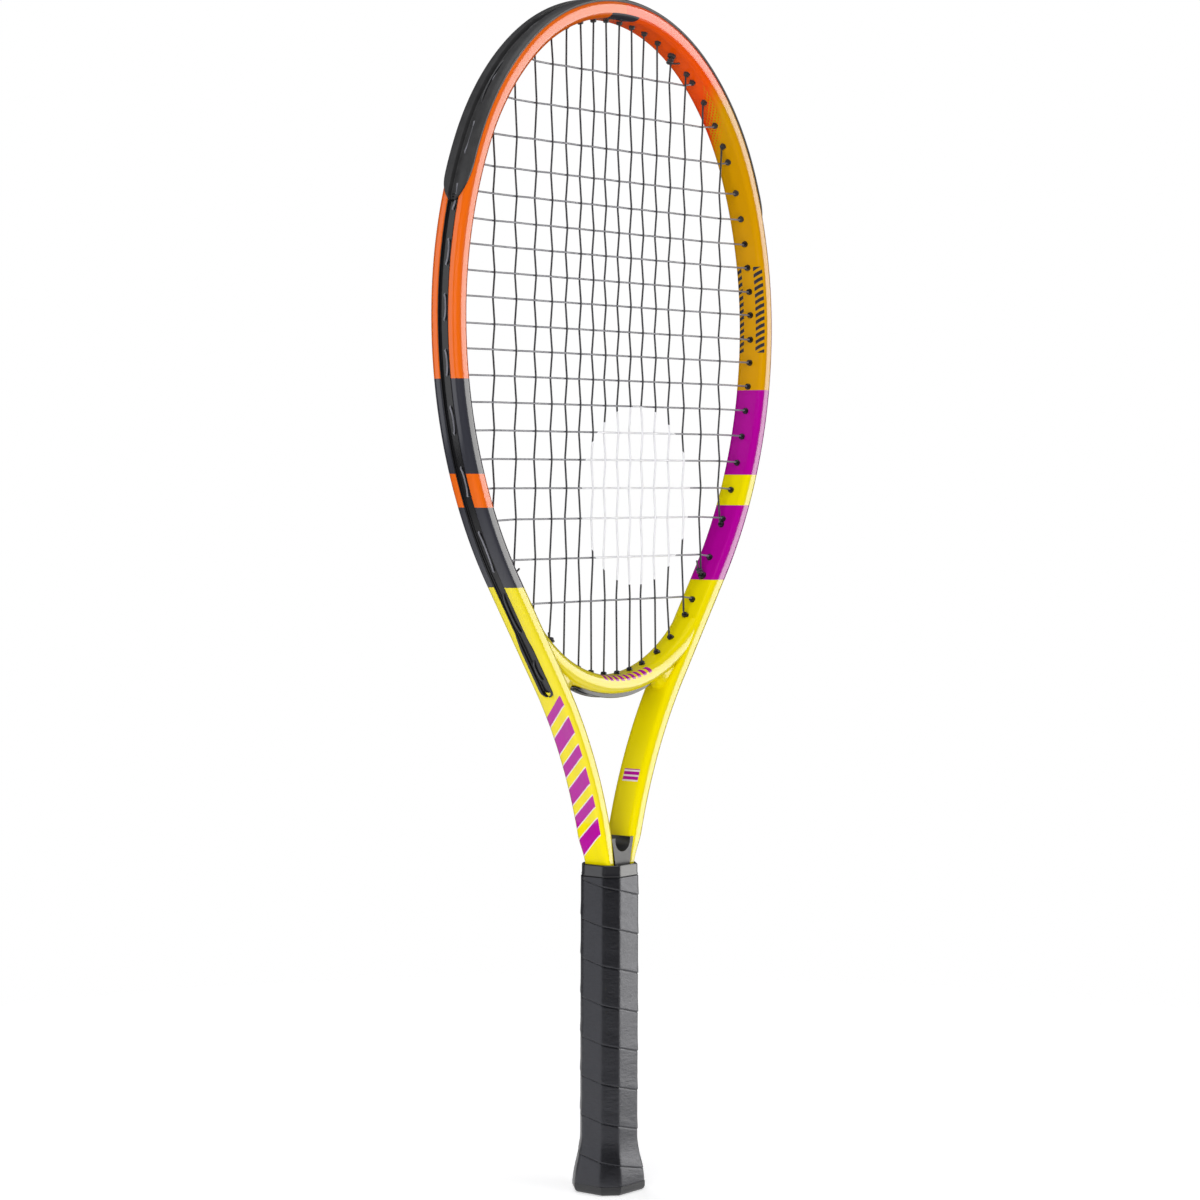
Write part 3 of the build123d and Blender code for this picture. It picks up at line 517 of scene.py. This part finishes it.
def leather():
    """Black synthetic leather: fine pores, soft creases across the grip and a satin sheen."""
    nodes = Nodes("grip_leather")
    base = varied(nodes, colour(0.006, 0.006, 0.007), 0.35, 90)
    creases = nodes.noise(260, 5, (1, 1, 2.6))
    pores = nodes.cells(2400)
    height = nodes.math("MULTIPLY_ADD", pores, 0.22, creases)
    rough = nodes.math("MULTIPLY_ADD", nodes.noise(420), 0.14, 0.30)
    nodes.set(Base_Color=base, Roughness=rough, Specular_IOR_Level=0.70,
              Specular_Tint=colour(0.90, 0.91, 1.0))
    nodes.bump(height, 0.28, 0.0006)
    return nodes.material


paint = frame_paint()
bridge_yellow = bridge_paint()
guard = moulded("guard_nylon", colour(0.042, 0.042, 0.043), 0.5, 0.2)
grommet_black = moulded("grommet_nylon", colour(0.010, 0.010, 0.011), 0.22, 0.05)
cap_black = moulded("cap_plastic", colour(0.010, 0.010, 0.012), 0.36, 0.2, 0.6)
plug_black = moulded("plug_plastic", colour(0.020, 0.020, 0.022), 0.38, 0.15)
collar_rubber = moulded("collar_rubber", colour(0.014, 0.014, 0.016), 0.28, 0.08, 0.75)
foam = moulded("pallet_foam", colour(0.10, 0.10, 0.10), 0.8, 0.5)
steel = moulded("staple_steel", colour(0.55, 0.55, 0.56), 0.3, 0.1, metallic=1.0)
main_black = string_material("main_string", colour(0.055, 0.055, 0.060), 0.28)
# The crosses are the same black string as the mains. Their lighter grey is a painted highlight for the
# light they catch from above.
cross_grey_painted_highlight = string_material("cross_string", colour(0.24, 0.24, 0.27), 0.25)
grip_black = leather()


# ---------------------------------------------------------------- sections of the tube
flat_out = TUBE_DEPTH / 2 - TUBE_CORNER
corner_arc = pi / 2 * TUBE_CORNER
flat_front = TUBE_WIDTH - 2 * TUBE_CORNER
half_round = 2 * flat_out + 2 * corner_arc + flat_front


def around(u, offset=0.0):
    """The tube's outline u mm round from the middle of its outer face: outward, across."""
    side, u = copysign(1, u), abs(u)
    low, high = TUBE_WIDTH / 2 - TUBE_CORNER, TUBE_CORNER + offset
    if u <= flat_out:
        a, b = low + high, u
    elif u <= flat_out + corner_arc:
        angle = (u - flat_out) / TUBE_CORNER
        a, b = low + high * cos(angle), flat_out + high * sin(angle)
    elif u <= flat_out + corner_arc + flat_front:
        a, b = low - (u - flat_out - corner_arc), flat_out + high
    elif u <= flat_out + 2 * corner_arc + flat_front:
        angle = pi / 2 + (u - flat_out - corner_arc - flat_front) / TUBE_CORNER
        a, b = -low + high * cos(angle), flat_out + high * sin(angle)
    else:
        a, b = -low - high, half_round - u
    return a, side * b


def ring_at(distance, section):
    point, away = rim_at(distance)
    return [point + away * a + np.array([0, b, 0]) for a, b in section]


CORNER_STEPS = 9
outline_steps = np.concatenate([
    np.linspace(CHANNEL_WIDTH / 2 + CHANNEL_LIP, flat_out, 4),
    flat_out + np.linspace(0, corner_arc, CORNER_STEPS + 1)[1:],
    flat_out + corner_arc + np.linspace(0, flat_front, 5)[1:],
    flat_out + corner_arc + flat_front + np.linspace(0, corner_arc, CORNER_STEPS + 1)[1:],
    half_round - np.linspace(flat_out, 0, 6)[1:],
])


def frame_section(depth):
    """Half outline from the channel's floor to the middle of the inner face, and its mirror."""
    outer = TUBE_WIDTH / 2
    lip = min(CHANNEL_LIP, depth)
    half = [(outer - depth, 0.0), (outer - depth, CHANNEL_WIDTH / 2 - lip),
            (outer - depth + lip * 0.3, CHANNEL_WIDTH / 2),
            (outer - lip, CHANNEL_WIDTH / 2), (outer - lip * 0.3, CHANNEL_WIDTH / 2 + lip * 0.3)]
    half += [around(u) for u in outline_steps]
    return half + [(a, -b) for a, b in reversed(half[1:-1])]


def frame_tube():
    """The hairpin: fine steps all round, with the channel running out at both its ends."""
    shape = Shape()
    rings = []
    for distance in unique_steps(-to_leg_bottom, to_leg_bottom, 2.0):
        left = (to_channel_end - abs(distance)) / CHANNEL_FADE
        depth = CHANNEL_DEPTH * min(max(left, 0.001), 1.0)
        tuck = smooth((HANDLE_TOP + HANDLE_TAPER - rim_at(distance)[0][2]) / HANDLE_TAPER)
        section = [
            (a - HANDLE_TUCK * tuck * max(a, 0) / (TUBE_WIDTH / 2), b * (1 - HANDLE_THINNING * tuck))
            for a, b in frame_section(depth)]
        rings.append(ring_at(distance, section))
    shape.skin(rings)
    return make_piece("painted_frame", shape, paint, ["frame_tube"])


def sunk(point):
    """A bridge point moved back to just inside the nearer shaft, if it lies further in."""
    side = np.array([copysign(1, point[0]), 1, 1])
    depth = (point * side - shaft_end).dot(shaft_outward) - BRIDGE_SINK
    return point - max(depth, 0) * shaft_outward * side


def web_profile(radius, side):
    """A fillet between the bridge's underside and a shaft's inner face, closed inside both."""
    base = shaft_end - shaft_outward * (TUBE_WIDTH / 2 + radius)
    down = forward(pi / 2 + THROAT_TURN)
    reach, aside = (base - bridge_centre).dot(down), (base - bridge_centre).dot(shaft_outward)
    centre = base + down * (sqrt((under_radius + radius) ** 2 - aside ** 2) - reach)
    to_bridge = (bridge_centre - centre) / np.linalg.norm(bridge_centre - centre)
    turn = np.arccos(to_bridge.dot(shaft_outward))
    arc = []
    for t in np.linspace(0, 1, 9):
        towards = to_bridge * sin(turn * (1 - t)) + shaft_outward * sin(turn * t)
        arc.append(centre + radius * towards / sin(turn))
    inside = [arc[-1] + shaft_outward * BRIDGE_SINK, arc[0] + to_bridge * BRIDGE_SINK]
    return [point * np.array([side, 1, 1]) for point in arc + inside]


def throat_bridge():
    """The arc between the shafts, and under each of its ends a web rounded off front and back."""
    shape = Shape()
    low = BRIDGE_WIDTH / 2 - BRIDGE_CORNER
    flat = BRIDGE_DEPTH / 2 - BRIDGE_CORNER
    section = [(a_side * (low + BRIDGE_CORNER * cos(t)), b_side * (flat + BRIDGE_CORNER * sin(t)))
               for a_side, b_side, turns in ((1, 1, (0, 90)), (-1, 1, (90, 0)),
                                             (-1, -1, (0, 90)), (1, -1, (90, 0)))
               for t in np.radians(np.linspace(*turns, CORNER_STEPS))]
    rings = []
    for turn in np.linspace(-BRIDGE_TURN, BRIDGE_TURN, 121):
        away = np.array([sin(turn), 0, -cos(turn)])
        middle = bridge_centre + away * (BRIDGE_RADIUS + BRIDGE_WIDTH / 2)
        rings.append([sunk(middle + away * a + np.array([0, b, 0])) for a, b in section])
    shape.skin(rings)
    for side in (-1, 1):
        profiles = []
        for share in np.sin(np.linspace(-pi / 2, pi / 2, 33)):
            radius = WEB_RADIUS * max(0.004, 1 - abs(share) ** 3) ** 0.5
            profiles.append([point + np.array([0, share * WEB_HALF_DEPTH, 0])
                             for point in web_profile(radius, side)])
        shape.skin(profiles)
    return make_piece("painted_bridge", shape, bridge_yellow, ["throat_bridge"])


# ---------------------------------------------------------------- grommets
class Grommet:
    """A barrel from its tip along aim, and the signed distance along the rim behind it."""

    def __init__(self, tip, aim, rim_distance=None, wide=False):
        self.tip, self.aim, self.rim_distance, self.wide = tip, aim, rim_distance, wide

    def reflected(self):
        flip = np.array([-1.0, 1.0, 1.0])
        distance = None if self.rim_distance is None else -self.rim_distance
        return Grommet(self.tip * flip, self.aim * flip, distance, self.wide)

    @property
    def turning(self):
        """Where the string bends out of its bore's line."""
        return self.tip - self.aim * BEND_LEAD


def solve(miss, low, high):
    """The distance between low and high where miss changes sign."""
    rising = miss(high) > 0
    for _ in range(40):
        middle = (low + high) / 2
        if (miss(middle) > 0) == rising:
            high = middle
        else:
            low = middle
    return (low + high) / 2


def rim_grommet(distance):
    point, away = rim_at(distance)
    return Grommet(point - away * (TUBE_WIDTH / 2 + BARREL_TIP), away, distance)


def rim_main(x, low, high):
    return rim_grommet(solve(lambda d: rim_grommet(d).turning[0] - x, low, high))


def rim_cross(z):
    return rim_grommet(solve(lambda d: z - rim_grommet(d).turning[2], 0.01, to_channel_end))


def bridge_point(x, radius):
    return bridge_centre + np.array([x, 0, -sqrt(radius ** 2 - x ** 2)])


def throat_main(x):
    turning = bridge_point(x, BRIDGE_RADIUS - BARREL_TIP - BEND_LEAD)
    aim = (turning - bridge_centre) / np.linalg.norm(turning - bridge_centre)
    return Grommet(turning + aim * BEND_LEAD, aim)


def corner_main(x):
    tip = bridge_point(x + BEND_LEAD * shaft_outward[0], BRIDGE_RADIUS - BARREL_TIP)
    along = np.array([throat_sin, 0, throat_cos])
    return Grommet(tip, shaft_outward, to_shaft_end - (tip - shaft_end).dot(along))


main_x = [share * half_width_clear for share in MAIN_STATIONS]
cross_z = [bottom_clear + share * length_clear for share in CROSS_STATIONS]
right_tops = [rim_main(x, 0.01, to_widest) for x in main_x]
right_bottoms = (
    [throat_main(x) for x in main_x[:3]] + [corner_main(x) for x in main_x[3:6]]
    + [rim_main(x, to_widest, to_channel_end) for x in main_x[6:]]
)
right_crosses = [rim_cross(z) for z in cross_z]
tops = [g.reflected() for g in reversed(right_tops)] + right_tops
bottoms = [g.reflected() for g in reversed(right_bottoms)] + right_bottoms
left_crosses = [g.reflected() for g in right_crosses]
mains = [-x for x in reversed(main_x)] + main_x
for host in (bottoms[1], bottoms[14], tops[12], bottoms[3]):     # the strings' tied ends
    host.wide = True


def beads(shape, grommets):
    """Adds the barrels' rounded tips, which stand out on the string side."""
    for g in grommets:
        r = TIE_BARREL_RADIUS if g.wide else BARREL_RADIUS
        shape.lathe(g.tip, g.aim, [
            (0.7, string_radius), (0.12, string_radius + 0.08), (0.0, r * 0.62), (0.14, r * 0.82),
            (0.45, r * 0.96), (0.9, r), (BARREL_TIP - 0.15, r), (BARREL_TIP + 0.1, r + 0.25),
            (BARREL_TIP + 0.4, r + 0.25), (BARREL_TIP + 1.0, r),
        ])


def on_bumper(g):
    return abs(g.rim_distance) < BUMPER_REACH


# ---------------------------------------------------------------- guard and strips
def bumper_section(half_width):
    """The guard across the tube: rounded edges, a groove for the strings and a key below it."""
    groove = min(2.6, half_width * 0.55)
    floor = -(CHANNEL_DEPTH - STRIP_THICKNESS)
    outer = [(0, floor), (groove - 0.3, floor), (groove, floor + 0.3), (groove, 0.55),
             (groove + 0.25, BUMPER_THICKNESS)]
    outer += [(u, BUMPER_THICKNESS) for u in np.linspace(groove + 0.6, half_width - 1.0, 9)]
    outer += [(half_width - 0.4, BUMPER_THICKNESS * 0.86),
              (half_width - 0.08, BUMPER_THICKNESS * 0.5), (half_width, SEAT_GAP)]
    key = min(STRIP_HALF_WIDTH, half_width)
    inner = [(u, SEAT_GAP) for u in np.linspace(half_width - 0.2, key, 9)]
    inner += [(key, SEAT_GAP - CHANNEL_DEPTH), (0, SEAT_GAP - CHANNEL_DEPTH)]
    section = [around(u, e) for u, e in outer + inner]
    return section + [(a, -b) for a, b in reversed(section[1:-1])]


def bumper_guard():
    shape = Shape()
    rings = []
    for distance in unique_steps(-BUMPER_REACH, BUMPER_REACH, 1.5):
        beyond = max(0.0, abs(distance) - (BUMPER_REACH - BUMPER_TAPER)) / BUMPER_TAPER
        width = BUMPER_SIDE * sqrt(max(0.0, 1 - beyond ** 2.2))
        rings.append(ring_at(distance, bumper_section(max(width, 2.2))))
    shape.skin(rings)
    beads(shape, tops + [g for g in right_crosses + left_crosses if on_bumper(g)])
    return make_piece("moulded_bumper", shape, guard, ["bumper_guard"])


def strip_section(half_width, flange):
    """A strip in the channel: a floor with two lips, which spread over the paint as flanges."""
    top = -0.1 + 0.5 * flange
    edge = half_width + 1.1 * flange
    lip = half_width - STRIP_LIP
    floor = -(CHANNEL_DEPTH - STRIP_THICKNESS)
    seated = flange > 0.05
    half = [(0, floor), (lip - 0.25, floor), (lip, floor + 0.25), (lip, top - 0.2), (lip + 0.2, top),
            (edge - 0.2, top), (edge, top - 0.2 * (1 + flange)),
            (edge, SEAT_GAP if seated else top - 0.3),
            (half_width, SEAT_GAP if seated else top - 0.4),
            (half_width, SEAT_GAP - CHANNEL_DEPTH), (0, SEAT_GAP - CHANNEL_DEPTH)]
    section = [around(u, e) for u, e in half]
    return section + [(a, -b) for a, b in reversed(section[1:-1])]


def side_strip(side, name, node, grommets):
    shape = Shape()
    low, high = BUMPER_REACH - STRIP_TUCK, to_channel_end - STRIP_GAP
    rings = []
    for distance in unique_steps(low, high, 1.5):
        end = max(0.0, distance - (high - STRIP_HALF_WIDTH)) / STRIP_HALF_WIDTH
        width = STRIP_HALF_WIDTH * sqrt(max(0.06, 1 - end ** 2))
        flange = smooth((distance - (high - FLANGE_REACH)) / FLANGE_RISE)
        rings.append(ring_at(side * distance, strip_section(width, flange)))
    shape.skin(rings)
    beads(shape, grommets)
    return make_piece(name, shape, grommet_black, [node])


def throat_strip():
    """The strip under the bridge: a floor between two lips that swell towards the middle."""
    shape = Shape()
    rings = []
    for turn in np.linspace(-THROAT_STRIP_TURN, THROAT_STRIP_TURN, 61):
        away = np.array([sin(turn), 0, -cos(turn)])
        share = abs(turn) / THROAT_STRIP_TURN
        lip = THROAT_STRIP_LIP * (1 - share ** 2.5) ** 0.7 + 0.05
        width = THROAT_STRIP_HALF_WIDTH * (0.55 + 0.45 * sqrt(max(0.0, 1 - share ** 6)))
        floor = STRIP_THICKNESS
        half = [(floor, 0), (floor, 2.5), (floor + 0.2, 2.7), (floor + lip * 0.8, 2.8),
                (floor + lip, 3.1), (floor + lip, width - 0.5), (floor + lip * 0.8, width - 0.1),
                (floor + lip * 0.4, width), (0.0, width), (0.0, 0)]
        section = half + [(h, -b) for h, b in reversed(half[1:-1])]
        rings.append([bridge_centre + away * (under_radius + SEAT_GAP + h) + np.array([0, b, 0])
                      for h, b in section])
    shape.skin(rings)
    beads(shape, bottoms[5:11])
    return make_piece("throat_strip", shape, grommet_black,
                      ["throat_grommet_strip"])


# ---------------------------------------------------------------- strings
def wave(share):
    """From 1 to -1, nearly straight in the middle, as a pulled string is."""
    x = pi * share
    return (cos(x) + cos(3 * x) / 9) / (1 + 1 / 9)


def woven(stops, samples=9):
    """Points along a string through its stops, side to side in Y as it passes the others."""
    result = []
    for here, there in zip(stops, stops[1:]):
        for share in np.linspace(0, 1, samples, endpoint=False):
            point = here + (there - here) * share
            point[1] = (here[1] + there[1]) / 2 + (here[1] - there[1]) / 2 * wave(share)
            result.append(point)
    return result + [stops[-1]]


def eased(points, rounds=3):
    """Corners cut, again and again, but with the ends kept."""
    points = np.asarray(points, float)
    for _ in range(rounds):
        near = points[:-1] * 0.75 + points[1:] * 0.25
        far = points[:-1] * 0.25 + points[1:] * 0.75
        cut = np.empty((2 * len(near), 3))
        cut[0::2], cut[1::2] = near, far
        points = np.concatenate([points[:1], cut, points[-1:]])
    return points


def loop(first, second, side):
    """From a barrel's tip out along the channel and in to the next barrel's tip."""
    if first.rim_distance is None:
        radius = under_radius + SEAT_GAP + STRIP_THICKNESS + string_radius + LOOP_CLEARANCE
        angles = np.linspace(np.arctan2(first.aim[0], -first.aim[2]),
                             np.arctan2(second.aim[0], -second.aim[2]), 7)
        middle = [bridge_centre + radius * np.array([sin(t), 0, -cos(t)]) for t in angles]
    else:
        count = max(7, int(abs(second.rim_distance - first.rim_distance) / 4))
        middle = []
        for distance in np.linspace(first.rim_distance, second.rim_distance, count):
            point, away = rim_at(distance)
            middle.append(point + away * loop_height)
    for i, point in enumerate(middle):
        point[1] += side * LOOP_BOW * sin(pi * i / (len(middle) - 1)) ** 0.5
    return list(eased([first.tip] + middle + [second.tip]))


cross_reach = [abs(g.turning[0]) - LAST_CROSSING for g in right_crosses]
amplitude = (STRING_DIAMETER + WEAVE_GAP) / 2


def cross_over(i, j):
    """The side, in Y, on which cross j passes main i."""
    return 1 if (i + j) % 2 else -1


def main_path():
    path = []
    for i, x in enumerate(mains):
        low, high = bottoms[i].turning[2], tops[i].turning[2]
        stops = [np.array([x, -amplitude * cross_over(i, j), z])
                 for j, z in reversed(list(enumerate(cross_z)))
                 if abs(x) < cross_reach[j] and low < z < high]
        span = woven([bottoms[i].tip] + stops + [tops[i].tip])
        path += span if i % 2 == 0 else span[::-1]
        if i < len(mains) - 1:
            ends = tops if i % 2 == 0 else bottoms
            path += loop(ends[i], ends[i + 1], 1)[1:-1]
    return path


def cross_path():
    path = []
    for j, z in enumerate(cross_z):
        stops = [np.array([x, amplitude * cross_over(i, j), z])
                 for i, x in enumerate(mains) if abs(x) < cross_reach[j]]
        span = woven([left_crosses[j].tip] + stops + [right_crosses[j].tip])
        path += span[::-1] if j % 2 == 0 else span
        if j < len(cross_z) - 1:
            side = left_crosses if j % 2 == 0 else right_crosses
            path += loop(side[j], side[j + 1], -1)[1:-1]
    return path


def tie(shape, host, side, tail):
    """A tied-off end: out of the shared barrel, wound round the main string, and its tail."""
    inward = copysign(1, widest_z - host.tip[2])
    x, z = host.turning[0], host.tip[2] + 0.4 * inward
    turns = [np.array([x + TIE_COIL * cos(t), TIE_COIL * sin(t), z + inward * 0.5 * t / pi * 1.15])
             for t in np.linspace(0, 5.0 * pi, 46)]
    start = [host.tip + np.array([0, side * string_radius * 2, 0]) + host.aim * 3.0,
             host.tip + np.array([0, side * string_radius * 2.2, 0])]
    end = turns[-1]
    finish = [end + np.array(tail) * share for share in (0.45, 1.0)]
    shape.tube(eased(start + turns[2:] + finish, 1), string_radius)
    loop_over = [
        np.array([x + TIE_OVER * cos(t), TIE_OVER * sin(t), z + inward * (1.4 + 0.9 * sin(t))])
        for t in np.linspace(0, 2 * pi, 25)]
    shape.tube(loop_over, string_radius * 0.92)


def strings():
    shape = Shape()
    shape.tube(main_path(), string_radius)
    tie(shape, bottoms[1], 1, (3.0, -1.5, 3.2))
    tie(shape, bottoms[14], 1, (-3.4, -1.5, 4.2))
    make_piece("woven_mains", shape, main_black, ["main_string"], crease=pi)
    shape = Shape()
    shape.tube(cross_path(), string_radius)
    make_piece("woven_crosses", shape, cross_grey_painted_highlight, ["cross_string"], crease=pi)
    shape = Shape()
    tie(shape, tops[12], -1, (6.5, -2.4, 0.6))
    tie(shape, bottoms[3], -1, (-2.8, -2.0, 2.4))
    make_piece("cross_knots", shape, main_black, crease=pi)


# ---------------------------------------------------------------- grip
ROUND_SIDES = 192
SHARPNESS = 34          # how crisp the grip's eight edges are


def octagon_ring(width, depth, bevel, z, offset=None):
    """Points round a soft-edged octagon. offset(angle) is added outwards."""
    points = []
    for angle in np.linspace(-pi, pi, ROUND_SIDES, endpoint=False):
        total = 0.0
        for k in range(8):
            facing = cos(angle - k * pi / 4)
            if facing > 0:
                if k % 4 == 0:
                    apart = width / 2
                elif k % 4 == 2:
                    apart = depth / 2
                else:
                    apart = (width / 2 + depth / 2 - bevel) / sqrt(2)
                total += (facing / apart) ** SHARPNESS
        radius = total ** (-1 / SHARPNESS) + (offset(angle) if offset else 0)
        points.append((radius * cos(angle), radius * sin(angle), z))
    return points


def wrap_offset(z):
    """A turn's lower edge lies over the turn below it, and thins out upwards."""
    def offset(angle):
        phase = (z - SEAM_LEVEL) / WRAP_PITCH + (angle - SEAM_ANGLE) / (2 * pi)
        phase -= np.floor(phase)
        if phase > 0.982:
            return -SEAM_DEPTH * smooth((phase - 0.982) / 0.012)
        proud = WRAP_OVERLAP * 0.45
        return -SEAM_DEPTH + smooth(phase / 0.022) * (SEAM_DEPTH + proud) - proud * smooth(phase / 0.4)
    return offset


def grip_wrap():
    low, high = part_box("grip_wrap")[0].z / MM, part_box("grip_wrap")[1].z / MM
    shape = Shape()
    rings = []
    for z in unique_steps(low, high, 0.35):
        flare = smooth((FLARE_TOP + 4 - z) / (FLARE_TOP + 4 - low)) ** 1.15
        width = GRIP_WIDTH + (BUTT_WIDTH - GRIP_WIDTH) * flare
        depth = GRIP_DEPTH + (BUTT_DEPTH - 0.1 - GRIP_DEPTH) * flare
        end = 0.1 * (1 - sqrt(max(0.0, 1 - max(0.0, 1 - min(z - low, high - z) / 0.9) ** 2)))
        bevel = GRIP_BEVEL * width / GRIP_WIDTH
        rings.append(octagon_ring(width - 2 * end, depth - 2 * end, bevel, z, wrap_offset(z)))
    rings += [octagon_ring(GRIP_WIDTH - 2 * WRAP_WALL, GRIP_DEPTH - 2 * WRAP_WALL, GRIP_BEVEL - 1, z)
              for z in (high, FLARE_TOP)]
    rings.append(octagon_ring(BUTT_WIDTH - 2 * BUTT_WALL, BUTT_DEPTH - 2 * BUTT_WALL, GRIP_BEVEL, low))
    shape.skin(rings, capped=False)
    return make_piece("leather_wrap", shape, grip_black, ["grip_wrap"],
                      crease=radians(60))


def grip_collar():
    """A rubber band with rounded edges, a little fuller towards its lower edge."""
    low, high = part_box("grip_collar")[0].z / MM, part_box("grip_collar")[1].z / MM
    shape = Shape()
    rings = []
    for share in np.linspace(0, 1, 17):
        edge = 1 - abs(2 * share - 1)
        inset = 0.35 + 0.5 * (1 - min(1.0, edge / 0.25)) ** 2 - 0.2 * smooth((0.3 - share) / 0.2)
        rings.append(octagon_ring(GRIP_WIDTH - 2 * inset, GRIP_DEPTH - 2 * inset, GRIP_BEVEL,
                                  low + (high - low) * share))
    rings += [
        octagon_ring(GRIP_WIDTH - 2 * COLLAR_WALL, GRIP_DEPTH - 2 * COLLAR_WALL, GRIP_BEVEL - 1, z)
        for z in (high, low)]
    shape.skin(rings, capped=False)
    return make_piece("rubber_collar", shape, collar_rubber, ["grip_collar"])


frame_tube()
throat_bridge()
bumper_guard()
side_strip(1, "right_strip", "grommet_strip_right",
           [g for g in right_crosses if not on_bumper(g)] + bottoms[11:])
side_strip(-1, "left_strip", "grommet_strip_left",
           [g for g in left_crosses if not on_bumper(g)] + bottoms[:5])
throat_strip()
strings()
grip_wrap()
grip_collar()

CAD_FINISHES = {
    "throat_plug": plug_black,
    "handle_pallet_front": foam, "handle_pallet_back": foam, "tube_end_plugs": foam,
    "butt_cap": cap_black, "trap_door": cap_black, "butt_cap_staples": steel,
}
for node, material in CAD_FINISHES.items():
    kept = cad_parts[node]
    kept.data.materials.clear()
    kept.data.materials.append(material)
    kept.data.polygons.foreach_set("use_smooth", [True] * len(kept.data.polygons))
    kept.data.set_sharp_from_angle(angle=radians(30))


# ---------------------------------------------------------------- stage, lights and camera
FLOOR_HALF, FLOOR_SOLID, FLOOR_GONE = 1.0, 0.2, 0.75    # metres from the racket
CAMERA_TURN, CAMERA_AWAY, CAMERA_HEIGHT = radians(52), 1.705, 0.3836
AIM_HEIGHT, AIM_ASIDE, CAMERA_ROLL = 0.3165, 0.00565, radians(0.2)


def stage():
    """A pale floor that fades into the pale background round it."""
    floor = bpy.data.meshes.new("floor")
    corners = [(-FLOOR_HALF, -FLOOR_HALF, 0), (FLOOR_HALF, -FLOOR_HALF, 0),
               (FLOOR_HALF, FLOOR_HALF, 0), (-FLOOR_HALF, FLOOR_HALF, 0)]
    floor.from_pydata(corners, [], [(0, 1, 2, 3)])
    nodes = Nodes("floor")
    nodes.set(Base_Color=colour(0.9, 0.9, 0.9), Roughness=0.9, Specular_IOR_Level=0.0,
              Emission_Color=colour(1, 1, 1), Emission_Strength=0.5)
    away = nodes.tree.nodes.new("ShaderNodeVectorMath")
    away.operation = "LENGTH"
    nodes.tree.links.new(nodes.where, away.inputs[0])
    nodes.set(Alpha=nodes.ramp(away.outputs["Value"], FLOOR_GONE, FLOOR_SOLID))
    floor.materials.append(nodes.material)
    ground = bpy.data.objects.new("floor", floor)
    bpy.context.scene.collection.objects.link(ground)


def softbox(name, direction, distance, width, height, radiance, shade=(1, 1, 1),
            glossy=True, diffuse=True):
    """An area light facing the racket's middle, by its radiance, for highlights, colour or both."""
    middle = Vector((0, 0, 0.34))
    light = bpy.data.lights.new(name, "AREA")
    light.shape = "RECTANGLE"
    light.size, light.size_y = width, height
    light.energy = radiance * pi * width * height
    light.color = shade
    lamp = bpy.data.objects.new(name, light)
    towards = Vector(direction).normalized()
    lamp.location = middle + towards * distance
    lamp.rotation_euler = (-towards).to_track_quat("-Z", "Y").to_euler()
    lamp.visible_glossy, lamp.visible_diffuse = glossy, diffuse
    lamp.visible_camera = False
    bpy.context.scene.collection.objects.link(lamp)


def surroundings():
    """White behind the racket, and a dim grey room for everything that reflects."""
    world = bpy.data.worlds.new("studio")
    bpy.context.scene.world = world
    world.use_nodes = True
    tree = world.node_tree
    background = tree.nodes["Background"]
    path = tree.nodes.new("ShaderNodeLightPath")
    mix = tree.nodes.new("ShaderNodeMix")
    mix.data_type = "RGBA"
    mix.inputs[6].default_value = (0.09, 0.09, 0.10, 1)
    mix.inputs[7].default_value = (1, 1, 1, 1)
    tree.links.new(path.outputs["Is Camera Ray"], mix.inputs[0])
    tree.links.new(mix.outputs[2], background.inputs[0])


def camera():
    """Level with the head's lower half, round to the left of the front."""
    data = bpy.data.cameras.new("camera")
    data.lens, data.sensor_width = 96.0, 36.0
    eye = bpy.data.objects.new("camera", data)
    bpy.context.scene.collection.objects.link(eye)
    eye.location = (-CAMERA_AWAY * sin(CAMERA_TURN), -CAMERA_AWAY * cos(CAMERA_TURN), CAMERA_HEIGHT)
    screen_right = Vector((cos(CAMERA_TURN), -sin(CAMERA_TURN), 0))
    aim = Vector((0, 0, AIM_HEIGHT)) - screen_right * AIM_ASIDE
    look = (aim - eye.location).to_track_quat("-Z", "Y")
    roll = Matrix.Rotation(CAMERA_ROLL, 4, "Z").to_quaternion()
    eye.rotation_euler = (look @ roll).to_euler()
    bpy.context.scene.camera = eye


stage()
surroundings()
softbox("shine", (0.788, -0.616, 0.05), 2.2, 1.4, 2.6, 5.0, (0.96, 0.95, 0.92), diffuse=False)
softbox("back_shine", (-0.788, 0.616, 0.10), 2.4, 1.6, 2.4, 1.3, (0.97, 0.98, 1.0), diffuse=False)
softbox("wash", (-0.85, -0.35, 0.04), 2.4, 1.8, 1.8, 4.6, glossy=False)
softbox("front_wash", (0.25, -0.90, 0.30), 2.4, 1.8, 1.8, 1.6, glossy=False)
softbox("back_wash", (0.45, 0.85, 0.3), 2.4, 1.8, 1.8, 2.2, glossy=False)
softbox("top", (-0.1, -0.1, 1.0), 1.9, 1.6, 1.6, 1.8)
camera()
bpy.context.scene.view_settings.view_transform = "Standard"
